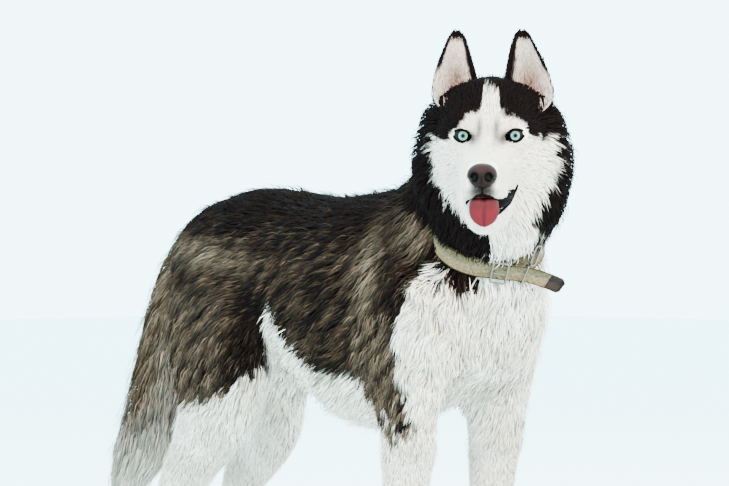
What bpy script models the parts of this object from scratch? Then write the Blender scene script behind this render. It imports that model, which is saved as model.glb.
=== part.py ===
"""A standing Siberian husky with its head turned to its right, life size, with a buckled collar.

Metres, +Z up. The dog faces -Y, and its left side is +X. The paws stand on z = 0, and the origin lies under the
middle of the whole model.
"""

import math

import bmesh
import bpy
import numpy as np
from mathutils import Matrix, Vector
from mathutils.bvhtree import BVHTree

# Driving sizes of the animal
WITHERS_HEIGHT = 0.588
GAP = 0.0003
WORN_GAP = 0.0005
VOXEL = 0.0045
BODY_TRIANGLES = 1550
HEAD_TRIANGLES = 820

# Where the head is: the middle between the eyes, and how the head is turned from the body's own line
EYES_MIDDLE = Vector((-0.105, -0.308, 0.6405))
HEAD_TURN = math.radians(52.0)
HEAD_NOD = math.radians(7.7)

# Head sizes
HEAD_BACK = -0.112
NECK_BACK = -0.090
EYE_RADIUS = 0.0115
EYE_SPACING = 0.062
EYE_SET_BACK = 0.0085
EYE_LOOK_OUT = math.radians(10.0)
EYE_SLANT = math.radians(18.0)
LID_OPENING = (0.0215, 0.0125)
LID_THICKNESS = 0.0026
SOCKET_ROOM = 1.07
EAR_THICKNESS = 0.0042
NOSE_MIDDLE = (0.101, -0.0375)
NOSE_HALF_SIZES = (0.0175, 0.0150, 0.0145)
NOSTRIL_RADIUS = 0.0036
LIP_RADIUS = 0.0028
TONGUE_THICKNESS = 0.0050
TONGUE_GROOVE = 0.0018

# How deep the locks of the long coat stand outside the cores that they grow from
RUFF_DEPTH = 0.019
RUFF_START = -0.012
RUFF_FADE = 0.030
BIB_DEPTH = 0.014
BIB_START = -0.150
BIB_FADE = 0.060
MANE_DEPTH = 0.014
BREECHES_DEPTH = 0.016
TAIL_CORE_SHARE = 0.58
LOCK_SINK = 0.007
LOCK_ROOM = 0.0008
SEED = 11

# Collar sizes. The ring lies on a plane that rises by COLLAR_SLOPE for each metre of x and of y.
COLLAR_CENTRE = Vector((-0.015, -0.228, 0.518))
COLLAR_SLOPE = (0.438, 0.523)
COLLAR_RADIUS = 0.0713
COLLAR_WIDTH = 0.026
COLLAR_THICKNESS = 0.0034
COLLAR_END_WIDTH = 0.021
BUCKLE_TURN = math.radians(5.0)
LEASH_RING_TURN = math.radians(39.0)
WIRE_RADIUS = 0.0014
NAPE_TURN = math.radians(-140.0)
COVERED_HALF_TURN = math.radians(38.0)
FADE_TURN = math.radians(22.0)
GROOVE_DEPTH = 0.040


def clear_scene():
    for obj in list(bpy.data.objects):
        bpy.data.objects.remove(obj, do_unlink=True)


def material(name, colour, roughness, metallic=0.0):
    made = bpy.data.materials.new(name)
    made.use_nodes = True
    shader = made.node_tree.nodes["Principled BSDF"]
    shader.inputs["Base Color"].default_value = (*colour, 1.0)
    shader.inputs["Roughness"].default_value = roughness
    shader.inputs["Metallic"].default_value = metallic
    made.diffuse_color = (*colour, 1.0)
    return made


def new_object(name, mesh):
    obj = bpy.data.objects.new(name, mesh)
    bpy.context.scene.collection.objects.link(obj)
    return obj


def object_of(name, mesh):
    """An object from a finished bmesh, with its faces pointing out."""
    bmesh.ops.recalc_face_normals(mesh, faces=mesh.faces)
    if mesh.calc_volume(signed=True) < 0:
        bmesh.ops.reverse_faces(mesh, faces=mesh.faces)
    data = bpy.data.meshes.new(name)
    mesh.to_mesh(data)
    mesh.free()
    return new_object(name, data)


def smooth_rows(rows, steps):
    """Rows of numbers along a smooth curve through the given rows, with so many steps between each two."""
    rows = np.array(rows, float)
    padded = np.vstack([2 * rows[0] - rows[1], rows, 2 * rows[-1] - rows[-2]])
    found = []
    for i in range(len(rows) - 1):
        a, b, c, d = padded[i : i + 4]
        for t in np.arange(steps) / steps:
            found.append(
                0.5 * (2 * b + (c - a) * t + (2 * a - 5 * b + 4 * c - d) * t**2 + (3 * b - a - 3 * c + d) * t**3)
            )
    found.append(rows[-1])
    return np.array(found)


def ring(centre, side, up, half_width, rise, drop, count=28, power=2.2):
    """Points round a rounded section: half_width to each side, rise above the centre and drop below it."""
    points = []
    for i in range(count):
        t = 2 * math.pi * i / count
        c, s = math.cos(t), math.sin(t)
        x = math.copysign(abs(c) ** (2 / power), c) * half_width
        z = math.copysign(abs(s) ** (2 / power), s) * (rise if s > 0 else drop)
        points.append(Vector(centre) + Vector(side) * x + Vector(up) * z)
    return points


def loft(name, rings, tip=None):
    """A closed body through rings of points. With a tip, the last ring closes on that point."""
    mesh = bmesh.new()
    loops = [[mesh.verts.new(p) for p in points] for points in rings]
    for first, second in zip(loops, loops[1:]):
        count = len(first)
        for i in range(count):
            j = (i + 1) % count
            mesh.faces.new((first[i], first[j], second[j], second[i]))
    mesh.faces.new(list(reversed(loops[0])))
    if tip is None:
        mesh.faces.new(loops[-1])
    else:
        point = mesh.verts.new(tip)
        last = loops[-1]
        for i in range(len(last)):
            mesh.faces.new((last[i], last[(i + 1) % len(last)], point))
    return object_of(name, mesh)


def limb(name, rows, steps=4, power=2.1, count=24):
    """A loft along rows of x, y, z, half depth and half width, each section square to the path."""
    rows = smooth_rows(rows, steps)
    centres = rows[:, :3]
    rings = []
    for i, row in enumerate(rows):
        along = Vector(centres[min(i + 1, len(rows) - 1)] - centres[max(i - 1, 0)]).normalized()
        front = Vector((1, 0, 0)).cross(along).normalized()
        across = along.cross(front)
        rings.append(ring(row[:3], across, front, row[4], row[3], row[3], count, power))
    return loft(name, rings)


def tube(name, points, radius, sides=8, closed=False):
    """A round wire along points, with flat ends, or closed on itself."""
    points = [Vector(p) for p in points]
    count = len(points)
    mesh = bmesh.new()
    loops = []
    normal = None
    for i, point in enumerate(points):
        if closed:
            along = (points[(i + 1) % count] - points[i - 1]).normalized()
        else:
            along = (points[min(i + 1, count - 1)] - points[max(i - 1, 0)]).normalized()
        if normal is None:
            start = Vector((0, 0, 1)) if abs(along.z) < 0.8 else Vector((1, 0, 0))
            normal = start
        normal = (normal - along * normal.dot(along)).normalized()
        other = along.cross(normal)
        turns = [2 * math.pi * k / sides for k in range(sides)]
        loops.append([mesh.verts.new(point + (normal * math.cos(t) + other * math.sin(t)) * radius) for t in turns])
    pairs = list(zip(loops, loops[1:])) + ([(loops[-1], loops[0])] if closed else [])
    for first, second in pairs:
        for i in range(sides):
            j = (i + 1) % sides
            mesh.faces.new((first[i], first[j], second[j], second[i]))
    if not closed:
        mesh.faces.new(list(reversed(loops[0])))
        mesh.faces.new(loops[-1])
    return object_of(name, mesh)


def ball(name, centre, radii, turn=Matrix.Identity(3), subdivisions=3):
    """An ellipsoid with its half sizes along the columns of turn."""
    mesh = bmesh.new()
    bmesh.ops.create_icosphere(mesh, subdivisions=subdivisions, radius=1.0)
    for v in mesh.verts:
        v.co = Vector(centre) + turn @ Vector([v.co[k] * radii[k] for k in range(3)])
    return object_of(name, mesh)


def vane(name, grid, thickness):
    """A thin closed body over a grid of points, with a thickness for each row, split alike on both faces."""
    rows, columns = len(grid), len(grid[0])
    mesh = bmesh.new()
    sides = ([], [])
    for i in range(rows):
        lines = ([], [])
        for j in range(columns):
            down = grid[min(i + 1, rows - 1)][j] - grid[max(i - 1, 0)][j]
            across = grid[i][min(j + 1, columns - 1)] - grid[i][max(j - 1, 0)]
            normal = down.cross(across).normalized()
            lines[0].append(mesh.verts.new(grid[i][j] + normal * thickness[i] / 2))
            lines[1].append(mesh.verts.new(grid[i][j] - normal * thickness[i] / 2))
        sides[0].append(lines[0])
        sides[1].append(lines[1])
    for i in range(rows - 1):
        for j in range(columns - 1):
            for side in sides:
                a, b, c, d = side[i][j], side[i][j + 1], side[i + 1][j + 1], side[i + 1][j]
                mesh.faces.new((a, b, c))
                mesh.faces.new((a, c, d))
    border = [(0, j) for j in range(columns)] + [(i, columns - 1) for i in range(1, rows)]
    border += [(rows - 1, j) for j in range(columns - 2, -1, -1)] + [(i, 0) for i in range(rows - 2, 0, -1)]
    for first, second in zip(border, border[1:] + border[:1]):
        a, b = sides[0][first[0]][first[1]], sides[0][second[0]][second[1]]
        c, d = sides[1][second[0]][second[1]], sides[1][first[0]][first[1]]
        mesh.faces.new((a, b, c))
        mesh.faces.new((a, c, d))
    return object_of(name, mesh)


def prism(name, outline, half_width, origin, first, second, across):
    """A flat outline on the axes first and second, carried half_width to both sides along across."""
    mesh = bmesh.new()
    ends = []
    for side in (-1, 1):
        ends.append([mesh.verts.new(origin + first * a + second * b + across * side * half_width) for a, b in outline])
    count = len(outline)
    for i in range(count):
        j = (i + 1) % count
        mesh.faces.new((ends[0][i], ends[0][j], ends[1][j], ends[1][i]))
    mesh.faces.new(list(reversed(ends[0])))
    mesh.faces.new(ends[1])
    return object_of(name, mesh)


def evaluated(obj):
    """Gives the object the mesh that its modifiers make, and takes the modifiers off."""
    bpy.context.view_layer.update()
    graph = bpy.context.evaluated_depsgraph_get()
    mesh = bpy.data.meshes.new_from_object(obj.evaluated_get(graph))
    obj.modifiers.clear()
    obj.data = mesh
    return obj


def joined(name, objects):
    """One mesh that holds the shells of the given objects, which are removed."""
    mesh = bmesh.new()
    for obj in objects:
        mesh.from_mesh(obj.data)
        bpy.data.objects.remove(obj)
    data = bpy.data.meshes.new(name)
    mesh.to_mesh(data)
    mesh.free()
    return new_object(name, data)


def boolean(obj, other, operation, keep=False, solver="EXACT"):
    """Cuts or joins obj with another object, which is removed unless it is to be kept."""
    step = obj.modifiers.new(operation.lower(), "BOOLEAN")
    step.operation = operation
    step.solver = solver
    step.object = other
    evaluated(obj)
    if not keep:
        bpy.data.objects.remove(other)
    return obj


def copy_of(obj, name):
    return new_object(name, obj.data.copy())


def grown(obj, by):
    """A copy of a body with its surface moved out along its normals."""
    made = copy_of(obj, obj.name + "_grown")
    normals = [v.normal.copy() for v in made.data.vertices]
    for v, n in zip(made.data.vertices, normals):
        v.co = v.co + n * by
    return made


def clear_of(obj, *others, by=GAP):
    """Cuts obj back from its neighbours, so that they meet with the gap of touching meshes."""
    for other in others:
        boolean(obj, grown(other, by), "DIFFERENCE", solver="MANIFOLD")
        largest_body(obj)
    return obj


def boxes_meet(first, second, room=0.001):
    """Whether the boxes round two bodies come near each other."""
    low = [Vector([min(v.co[k] for v in obj.data.vertices) for k in range(3)]) for obj in (first, second)]
    high = [Vector([max(v.co[k] for v in obj.data.vertices) for k in range(3)]) for obj in (first, second)]
    return all(low[0][k] < high[1][k] + room and low[1][k] < high[0][k] + room for k in range(3))


def largest_body(obj):
    """Keeps only the largest closed surface of a mesh, as triangles."""
    mesh = bmesh.new()
    mesh.from_mesh(obj.data)
    bmesh.ops.triangulate(mesh, faces=mesh.faces)
    bmesh.ops.remove_doubles(mesh, verts=mesh.verts, dist=1e-7)
    seen, groups = set(), []
    for start in mesh.faces:
        if start in seen:
            continue
        group, waiting = [], [start]
        seen.add(start)
        while waiting:
            face = waiting.pop()
            group.append(face)
            for edge in face.edges:
                for near in edge.link_faces:
                    if near not in seen:
                        seen.add(near)
                        waiting.append(near)
        groups.append(group)
    if len(groups) > 1:
        keep = max(groups, key=lambda g: sum(f.calc_area() for f in g))
        spare = [f for g in groups if g is not keep for f in g]
        bmesh.ops.delete(mesh, geom=spare, context="FACES")
    loose = [v for v in mesh.verts if not v.link_faces]
    bmesh.ops.delete(mesh, geom=loose, context="VERTS")
    mesh.to_mesh(obj.data)
    mesh.free()
    return obj


# The head's own axes: forward along the muzzle, to the dog's left, and up
FORWARD = Vector(
    (
        -math.sin(HEAD_TURN) * math.cos(HEAD_NOD),
        -math.cos(HEAD_TURN) * math.cos(HEAD_NOD),
        -math.sin(HEAD_NOD),
    )
)
LEFT = Vector((math.cos(HEAD_TURN), -math.sin(HEAD_TURN), 0.0))
UPWARD = FORWARD.cross(LEFT)


def in_head(forward, left, up):
    """A point given in the head's own axes, from the middle between the eyes."""
    return EYES_MIDDLE + FORWARD * forward + LEFT * left + UPWARD * up


def head_direction(forward, up):
    return FORWARD * forward + UPWARD * up


def head_turn():
    """The rotation whose columns are the head's axes: left, forward and up."""
    return Matrix((LEFT, FORWARD, UPWARD)).transposed()


def torso_core():
    """The trunk as a loft along the spine: y, top, bottom, half width, and the height of the widest level.

    Over the chest it stays inside the tips of the bib by BIB_DEPTH."""
    sections = (
        (0.352, 0.500, 0.435, 0.018, 0.45),
        (0.337, 0.536, 0.405, 0.056, 0.50),
        (0.292, 0.566, 0.372, 0.088, 0.52),
        (0.235, 0.582, 0.352, 0.102, 0.52),
        (0.180, 0.588, 0.366, 0.105, 0.50),
        (0.115, 0.580, 0.354, 0.101, 0.46),
        (0.050, 0.573, 0.297, 0.115, 0.46),
        (-0.020, 0.577, 0.264, 0.124, 0.45),
        (-0.095, WITHERS_HEIGHT - 0.002, 0.283, 0.121, 0.43),
        (-0.150, 0.566, 0.312, 0.108, 0.42),
        (-0.205, 0.530, 0.326, 0.093, 0.42),
        (-0.250, 0.500, 0.348, 0.072, 0.42),
        (-0.281, 0.475, 0.382, 0.047, 0.46),
        (-0.292, 0.455, 0.408, 0.020, 0.50),
    )
    rings = []
    for y, top, bottom, half_width, level in smooth_rows(sections, 3):
        inset = BIB_DEPTH * min(max((BIB_START - y) / BIB_FADE, 0.0), 1.0)
        y, bottom, half_width = y + inset, bottom + inset, max(half_width - inset, half_width / 2)
        middle = bottom + (top - bottom) * level
        rings.append(ring((0, y, middle), (1, 0, 0), (0, 0, 1), half_width, top - middle, middle - bottom, 32, 2.15))
    return loft("torso_core", rings)


def neck_core():
    """The neck from inside the shoulders up into the skull: x, y, z, half depth, half width."""
    return limb(
        "neck_core",
        (
            (0.010, -0.150, 0.385, 0.095, 0.096),
            (0.006, -0.185, 0.440, 0.090, 0.090),
            (-0.006, -0.212, 0.480, 0.078, 0.080),
            (-0.015, -0.228, 0.513, 0.073, 0.073),
            (-0.026, -0.244, 0.553, 0.080, 0.079),
            (-0.038, -0.260, 0.600, 0.082, 0.082),
            (-0.046, -0.268, 0.640, 0.070, 0.072),
        ),
    )


def nape_core():
    """The mane from the withers up to the back of the skull: x, y, z, half depth, half width."""
    return limb(
        "nape_core",
        (
            (0.000, -0.020, 0.500, 0.074, 0.085),
            (0.000, -0.075, 0.508, 0.068, 0.082),
            (-0.001, -0.125, 0.530, 0.064, 0.078),
            (-0.010, -0.170, 0.566, 0.061, 0.074),
            (-0.022, -0.205, 0.612, 0.058, 0.070),
            (-0.034, -0.232, 0.650, 0.050, 0.062),
        ),
    )


def head_section(forward, top, bottom, half_width, level=0.5, count=36, power=2.15):
    middle = bottom + (top - bottom) * level
    return ring(
        in_head(forward, 0, middle), LEFT, UPWARD, half_width, top - middle, middle - bottom, count, power
    )


def skull_core():
    """The skull with its cheeks and the root of the ruff, back to front.

    Each row is forward, top, bottom, half width and widest level, out to the tips of the ruff, and the core
    stays inside them by RUFF_DEPTH."""
    sections = (
        (-0.128, 0.012, -0.080, 0.040, 0.45),
        (-0.108, 0.048, -0.105, 0.074, 0.43),
        (-0.082, 0.068, -0.120, 0.092, 0.38),
        (-0.056, 0.074, -0.122, 0.0975, 0.36),
        (-0.034, 0.070, -0.112, 0.087, 0.36),
        (-0.017, 0.058, -0.100, 0.070, 0.38),
        (-0.005, 0.040, -0.090, 0.052, 0.40),
        (0.004, 0.018, -0.082, 0.036, 0.42),
    )
    rings = []
    for forward, top, bottom, half_width, level in smooth_rows(sections, 3):
        inset = RUFF_DEPTH * min(max((RUFF_START - forward) / RUFF_FADE, 0.0), 1.0)
        rings.append(head_section(forward, top, bottom + inset, half_width - inset, level))
    return loft("skull_core", rings)


def muzzle_core():
    """The upper jaw: forward, top, bottom, half width, widest level."""
    sections = (
        (-0.020, 0.014, -0.070, 0.046, 0.40),
        (0.012, 0.006, -0.069, 0.038, 0.38),
        (0.040, -0.003, -0.068, 0.031, 0.34),
        (0.072, -0.011, -0.066, 0.0270, 0.34),
        (0.094, -0.018, -0.064, 0.0240, 0.36),
        (0.104, -0.026, -0.061, 0.0190, 0.40),
    )
    return loft("muzzle_core", [head_section(*row, power=2.4) for row in smooth_rows(sections, 3)])


def jaw_core():
    """The lower jaw, hanging a little open: forward, top, bottom, half width, widest level."""
    sections = (
        (-0.040, -0.050, -0.108, 0.046, 0.55),
        (0.000, -0.060, -0.111, 0.034, 0.55),
        (0.035, -0.070, -0.112, 0.0275, 0.55),
        (0.065, -0.078, -0.1115, 0.0225, 0.55),
        (0.084, -0.083, -0.109, 0.017, 0.55),
        (0.092, -0.088, -0.105, 0.010, 0.55),
    )
    return loft("jaw_core", [head_section(*row) for row in smooth_rows(sections, 3)])


def brow_core():
    """Brow bones over the eyes, and the sides of the upper lip."""
    made = []
    for side in (-1, 1):
        made.append(ball("brow", in_head(-0.019, side * 0.029, 0.018), (0.022, 0.018, 0.013), head_turn()))
        made.append(ball("flew", in_head(0.070, side * 0.0155, -0.052), (0.0135, 0.036, 0.0145), head_turn()))
    return made


# The legs, from the body down to the wrist or heel: x, y, z, half depth, half width
FORE_LEG = (
    (0.070, -0.170, 0.470, 0.066, 0.046),
    (0.079, -0.155, 0.400, 0.068, 0.046),
    (0.083, -0.149, 0.330, 0.055, 0.040),
    (0.081, -0.152, 0.270, 0.041, 0.034),
    (0.080, -0.145, 0.210, 0.0325, 0.030),
    (0.079, -0.148, 0.145, 0.029, 0.029),
    (0.079, -0.153, 0.100, 0.028, 0.029),
    (0.079, -0.160, 0.055, 0.028, 0.029),
    (0.079, -0.168, 0.030, 0.024, 0.028),
)
HIND_LEG = (
    (0.052, 0.245, 0.490, 0.080, 0.050),
    (0.066, 0.222, 0.430, 0.096, 0.052),
    (0.076, 0.198, 0.370, 0.090, 0.050),
    (0.080, 0.196, 0.310, 0.070, 0.043),
    (0.081, 0.232, 0.250, 0.051, 0.036),
    (0.081, 0.270, 0.200, 0.039, 0.030),
    (0.081, 0.292, 0.165, 0.033, 0.027),
    (0.081, 0.294, 0.120, 0.028, 0.026),
    (0.081, 0.286, 0.075, 0.027, 0.027),
    (0.081, 0.274, 0.035, 0.025, 0.028),
)
# How far back the left hind leg stands behind the right one, for each of its rows
HIND_SET_BACK = (0.010, 0.036, 0.070, 0.084, 0.046, 0.046, 0.046, 0.046, 0.046, 0.046)

# Paw sizes, from the middle of the leg's end
PAW_HALF_WIDTH = 0.031
PAW_LENGTH = 0.062
TOE_RADIUS = 0.0128
TOE_HEIGHT = 0.0175
TOE_PLACES = (-0.74, -0.26, 0.26, 0.74)
CLAW_LENGTH = 0.014
CLAW_RADIUS = 0.0030
WRIST_HEIGHT = 0.074
HEEL_HEIGHT = 0.172
FOOT_SINK = 0.0015


def toe_places(foot):
    """The middle of each toe and the way it points, for a paw round a point on the floor."""
    x, y = foot
    found = []
    for across in TOE_PLACES:
        reach = PAW_LENGTH * (0.80 if abs(across) > 0.5 else 1.0)
        fan = math.radians(9 * across)
        tip = Vector((x + across * PAW_HALF_WIDTH, y - reach + 0.016, TOE_HEIGHT - FOOT_SINK))
        found.append((tip, fan))
    return found


def paw_core(foot):
    """The pad of a paw and its four toes, round the point where the leg's last section ends."""
    x, y = foot
    made = [ball("pad", (x, y - 0.008, 0.017), (PAW_HALF_WIDTH * 0.92, 0.034, 0.0195))]
    made.append(ball("instep", (x, y - 0.018, 0.026), (PAW_HALF_WIDTH * 0.80, 0.030, 0.018)))
    for tip, fan in toe_places(foot):
        made.append(ball("toe", tip, (TOE_RADIUS * 0.96, 0.023, TOE_HEIGHT), Matrix.Rotation(fan, 3, "Z")))
    return made


def placed_leg(rows, side, set_back=None):
    """The rows of a leg on its own side of the body."""
    shifts = set_back or [0.0] * len(rows)
    return [(side * x, y + back, z, d, w) for (x, y, z, d, w), back in zip(rows, shifts)]


LEGS = {
    "fore_right": placed_leg(FORE_LEG, -1),
    "fore_left": placed_leg(FORE_LEG, 1),
    "hind_right": placed_leg(HIND_LEG, -1),
    "hind_left": placed_leg(HIND_LEG, 1, HIND_SET_BACK),
}

# The tail from its root to its tip: x, y, z, half depth, half width
TAIL = (
    (0.000, 0.295, 0.528, 0.030, 0.030),
    (-0.002, 0.336, 0.508, 0.032, 0.031),
    (-0.006, 0.360, 0.472, 0.037, 0.035),
    (-0.010, 0.371, 0.430, 0.042, 0.040),
    (-0.014, 0.376, 0.385, 0.047, 0.044),
    (-0.020, 0.387, 0.316, 0.050, 0.047),
    (-0.028, 0.412, 0.243, 0.045, 0.042),
    (-0.034, 0.438, 0.195, 0.034, 0.032),
    (-0.037, 0.455, 0.162, 0.019, 0.018),
    (-0.038, 0.464, 0.142, 0.006, 0.006),
)


def whole_flesh():
    """All the flesh but the tail as one smooth closed mesh."""
    parts = [torso_core(), neck_core(), nape_core(), skull_core(), muzzle_core(), jaw_core(), *brow_core()]
    for rows in LEGS.values():
        parts.append(limb("leg_core", rows))
        parts += paw_core(rows[-1][:2])
    flesh = joined("flesh", parts)
    remesh = flesh.modifiers.new("one_surface", "REMESH")
    remesh.mode = "VOXEL"
    remesh.voxel_size = VOXEL
    evaluated(flesh)
    soft = flesh.modifiers.new("soft_joins", "SMOOTH")
    soft.factor = 0.5
    soft.iterations = 5
    return evaluated(flesh)


def thinned(obj, weights, triangles):
    """Collapses the part of a mesh that has weights until so many triangles of it are left."""
    mesh = obj.data
    group = obj.vertex_groups.new(name="thin")
    inside = {i for i, w in enumerate(weights) if w}
    group.add(sorted(inside), 1.0, "REPLACE")
    bpy.context.view_layer.update()
    mesh.calc_loop_triangles()
    total = len(mesh.loop_triangles)
    held = sum(1 for t in mesh.loop_triangles if all(v in inside for v in t.vertices))
    step = obj.modifiers.new("thin", "DECIMATE")
    step.ratio = (total - held + triangles) / total
    step.vertex_group = "thin"
    step.vertex_group_factor = 1.0
    evaluated(obj)
    obj.vertex_groups.clear()
    return obj


def is_head(point):
    return (point - EYES_MIDDLE).dot(FORWARD) > -0.085 and point.z > 0.50


def region(planes, margin):
    """A convex body bounded by planes, each a point and its outward normal, moved in by a margin."""
    mesh = bmesh.new()
    bmesh.ops.create_cube(mesh, size=3.0)
    for point, normal in planes:
        normal = Vector(normal).normalized()
        everything = mesh.verts[:] + mesh.edges[:] + mesh.faces[:]
        cut = bmesh.ops.bisect_plane(
            mesh, geom=everything, plane_co=Vector(point) - normal * margin, plane_no=normal, clear_outer=True
        )
        edges = [item for item in cut["geom_cut"] if isinstance(item, bmesh.types.BMEdge)]
        bmesh.ops.edgeloop_fill(mesh, edges=edges)
    return object_of("region", mesh)


def part_off(body, name, planes):
    """Parts a piece off a body: all of it that lies inside the planes. Both keep clear of the cut."""
    piece = copy_of(body, name)
    boolean(piece, region(planes, GAP / 2), "INTERSECT")
    boolean(body, region(planes, -GAP / 2), "DIFFERENCE")
    largest_body(body)
    return largest_body(piece)


# The collar's own axes: toward the buckle, round to the dog's left, and square to the ring
COLLAR_NORMAL = Vector((-COLLAR_SLOPE[0], -COLLAR_SLOPE[1], 1.0)).normalized()
BUCKLE_WAY = Matrix.Rotation(BUCKLE_TURN, 3, "Z") @ Vector((-math.sqrt(0.5), -math.sqrt(0.5), 0.0))
COLLAR_LEFT = Vector((-BUCKLE_WAY.y, BUCKLE_WAY.x, 0.0))


def collar_point(turn, radius=COLLAR_RADIUS, lift=0.0):
    """A point of the ring: turn runs from the buckle to the dog's left, and lift is along the neck."""
    flat = BUCKLE_WAY * math.cos(turn) + COLLAR_LEFT * math.sin(turn)
    across = (flat - COLLAR_NORMAL * flat.dot(COLLAR_NORMAL)).normalized()
    return COLLAR_CENTRE + across * radius + COLLAR_NORMAL * lift


def hoop(name, inner, outer, half_height, count=40):
    """A flat ring round the neck. Its outer radius is a number, or a function of the turn from the throat."""
    mesh = bmesh.new()
    loops = []
    for i in range(count):
        turn = 2 * math.pi * i / count
        far = outer(turn) if callable(outer) else outer
        corners = ((inner, -half_height), (far, -half_height), (far, half_height), (inner, half_height))
        loops.append([mesh.verts.new(collar_point(turn, r, h)) for r, h in corners])
    for i in range(count):
        first, second = loops[i], loops[(i + 1) % count]
        for k in range(4):
            n = (k + 1) % 4
            mesh.faces.new((first[k], first[n], second[n], second[k]))
    return object_of(name, mesh)


def groove_radius(turn):
    """How far out the fur is parted over the band: all round but at the nape, where the mane covers it."""
    from_nape = abs((turn - NAPE_TURN + math.pi) % (2 * math.pi) - math.pi)
    open_share = min(max((from_nape - COVERED_HALF_TURN) / FADE_TURN, 0.0), 1.0)
    return COLLAR_RADIUS + GAP + GROOVE_DEPTH * open_share


def above_collar(lift):
    """The plane square to the neck, so far above the collar's middle."""
    return COLLAR_CENTRE + COLLAR_NORMAL * lift


def body_nodes(flesh):
    """Parts the flesh into the head, neck, torso and legs with thin cuts."""
    nodes = {}
    nodes["head"] = part_off(
        flesh, "head", [(above_collar(0.034), -COLLAR_NORMAL), (in_head(HEAD_BACK, 0, 0), -FORWARD)]
    )
    nodes["neck"] = part_off(
        flesh, "neck", [(above_collar(-0.034), (0.15, 0.15, -1.0)), ((0, NECK_BACK, WITHERS_HEIGHT), (0, 0.80, 0.60))]
    )
    for side, word in ((-1, "right"), (1, "left")):
        planes = [
            ((side * 0.040, 0, 0.295), (-side * 0.72, 0, 0.69)),
            ((side * 0.010, 0, 0), (-side, 0, 0)),
            ((0, -0.078, 0.300), (0, 0.95, 0.31)),
            ((0, -0.215, 0.300), (0, -0.95, 0.31)),
        ]
        leg = part_off(flesh, f"foreleg_{word}", planes)
        nodes[f"forepaw_{word}"] = part_off(leg, f"forepaw_{word}", [((0, 0, WRIST_HEIGHT), (0, 0, 1))])
        nodes[f"foreleg_{word}"] = leg
        back = HIND_SET_BACK[3] if side > 0 else 0.0
        planes = [
            ((side * 0.030, 0, 0.350), (-side * 0.80, 0, 0.60)),
            ((side * 0.010, 0, 0), (-side, 0, 0)),
            ((0, 0.100 + back, 0.345), (0, -0.93, 0.37)),
        ]
        thigh = part_off(flesh, f"thigh_{word}", planes)
        foot = part_off(thigh, f"hindpaw_{word}", [((0, 0, HEEL_HEIGHT), (0, 0, 1))])
        nodes[f"shank_{word}"] = part_off(
            thigh, f"shank_{word}", [((0, 0.170 + back, 0.268), (0, 0.42, 0.91))]
        )
        nodes[f"thigh_{word}"] = thigh
        nodes[f"hindpaw_{word}"] = foot
    flesh.name = "torso"
    nodes["torso"] = largest_body(flesh)
    return nodes


def claws(foot):
    """The four claws of a paw, each a short curved cone from the end of its toe."""
    made = []
    for tip, fan in toe_places(foot):
        way = Vector((math.sin(fan), -math.cos(fan), 0.0))
        rows = ((0.010, -0.001, 1.0), (0.020, -0.001, 0.95), (0.027, -0.0045, 0.6))
        rings = []
        for out, rise, share in rows:
            centre = tip + way * out + Vector((0, 0, rise))
            rings.append(ring(centre, way.cross(Vector((0, 0, 1))), (0, 0, 1), CLAW_RADIUS * share * 0.8,
                              CLAW_RADIUS * share, CLAW_RADIUS * share, 5, 2.0))
        end = tip + way * (0.0175 + CLAW_LENGTH) + Vector((0, 0, -0.0095))
        made.append(loft("claw", rings, end))
    return made


def add_claws(nodes):
    for name, rows in LEGS.items():
        which, side = name.split("_")
        paw = nodes[f"{'forepaw' if which == 'fore' else 'hindpaw'}_{side}"]
        for claw in claws(rows[-1][:2]):
            boolean(paw, claw, "UNION")
        floor = region([((0, 0, 0), (0, 0, 1))], 0.0)
        boolean(paw, floor, "DIFFERENCE")
        largest_body(paw)


def eye_place(side):
    """The middle of an eyeball and the rotation whose columns are its own left, forward and up."""
    centre = in_head(-EYE_SET_BACK, side * EYE_SPACING / 2, 0.0)
    out = Matrix.Rotation(side * EYE_LOOK_OUT, 3, UPWARD) @ FORWARD
    left = UPWARD.cross(out) * -1
    slanted = Matrix.Rotation(side * EYE_SLANT, 3, out) @ left
    return centre, Matrix((slanted, out, slanted.cross(out))).transposed()


def eyes_and_lids(head):
    """The eyeballs, each in a socket of the head behind lids that open in the shape of an almond."""
    made = {}
    for side, word in ((-1, "right"), (1, "left")):
        centre, turn = eye_place(side)
        lid = EYE_RADIUS + LID_THICKNESS
        boolean(head, ball("lid", centre, (lid, lid, lid), turn), "UNION")
        socket = (EYE_RADIUS + GAP) * SOCKET_ROOM
        boolean(head, ball("socket", centre, (socket, socket, socket), turn, 2), "DIFFERENCE")
        outline = []
        for i in range(16):
            t = 2 * math.pi * i / 16
            across = math.cos(t) * LID_OPENING[0] / 2
            pointed = 1.0 - 0.25 * abs(math.cos(t)) ** 3
            outline.append((across, math.sin(t) * LID_OPENING[1] / 2 * pointed))
        slit = prism("slit", outline, EYE_RADIUS, centre + turn.col[1] * EYE_RADIUS * 1.25, turn.col[0],
                     turn.col[2], turn.col[1])
        boolean(head, slit, "DIFFERENCE")
        made[f"eye_{word}"] = ball(f"eye_{word}", centre, (EYE_RADIUS, EYE_RADIUS, EYE_RADIUS), turn)
    largest_body(head)
    return made


def tree_of(obj):
    """A search tree over the surface of a body."""
    mesh = bmesh.new()
    mesh.from_mesh(obj.data)
    found = BVHTree.FromBMesh(mesh)
    mesh.free()
    return found


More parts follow.
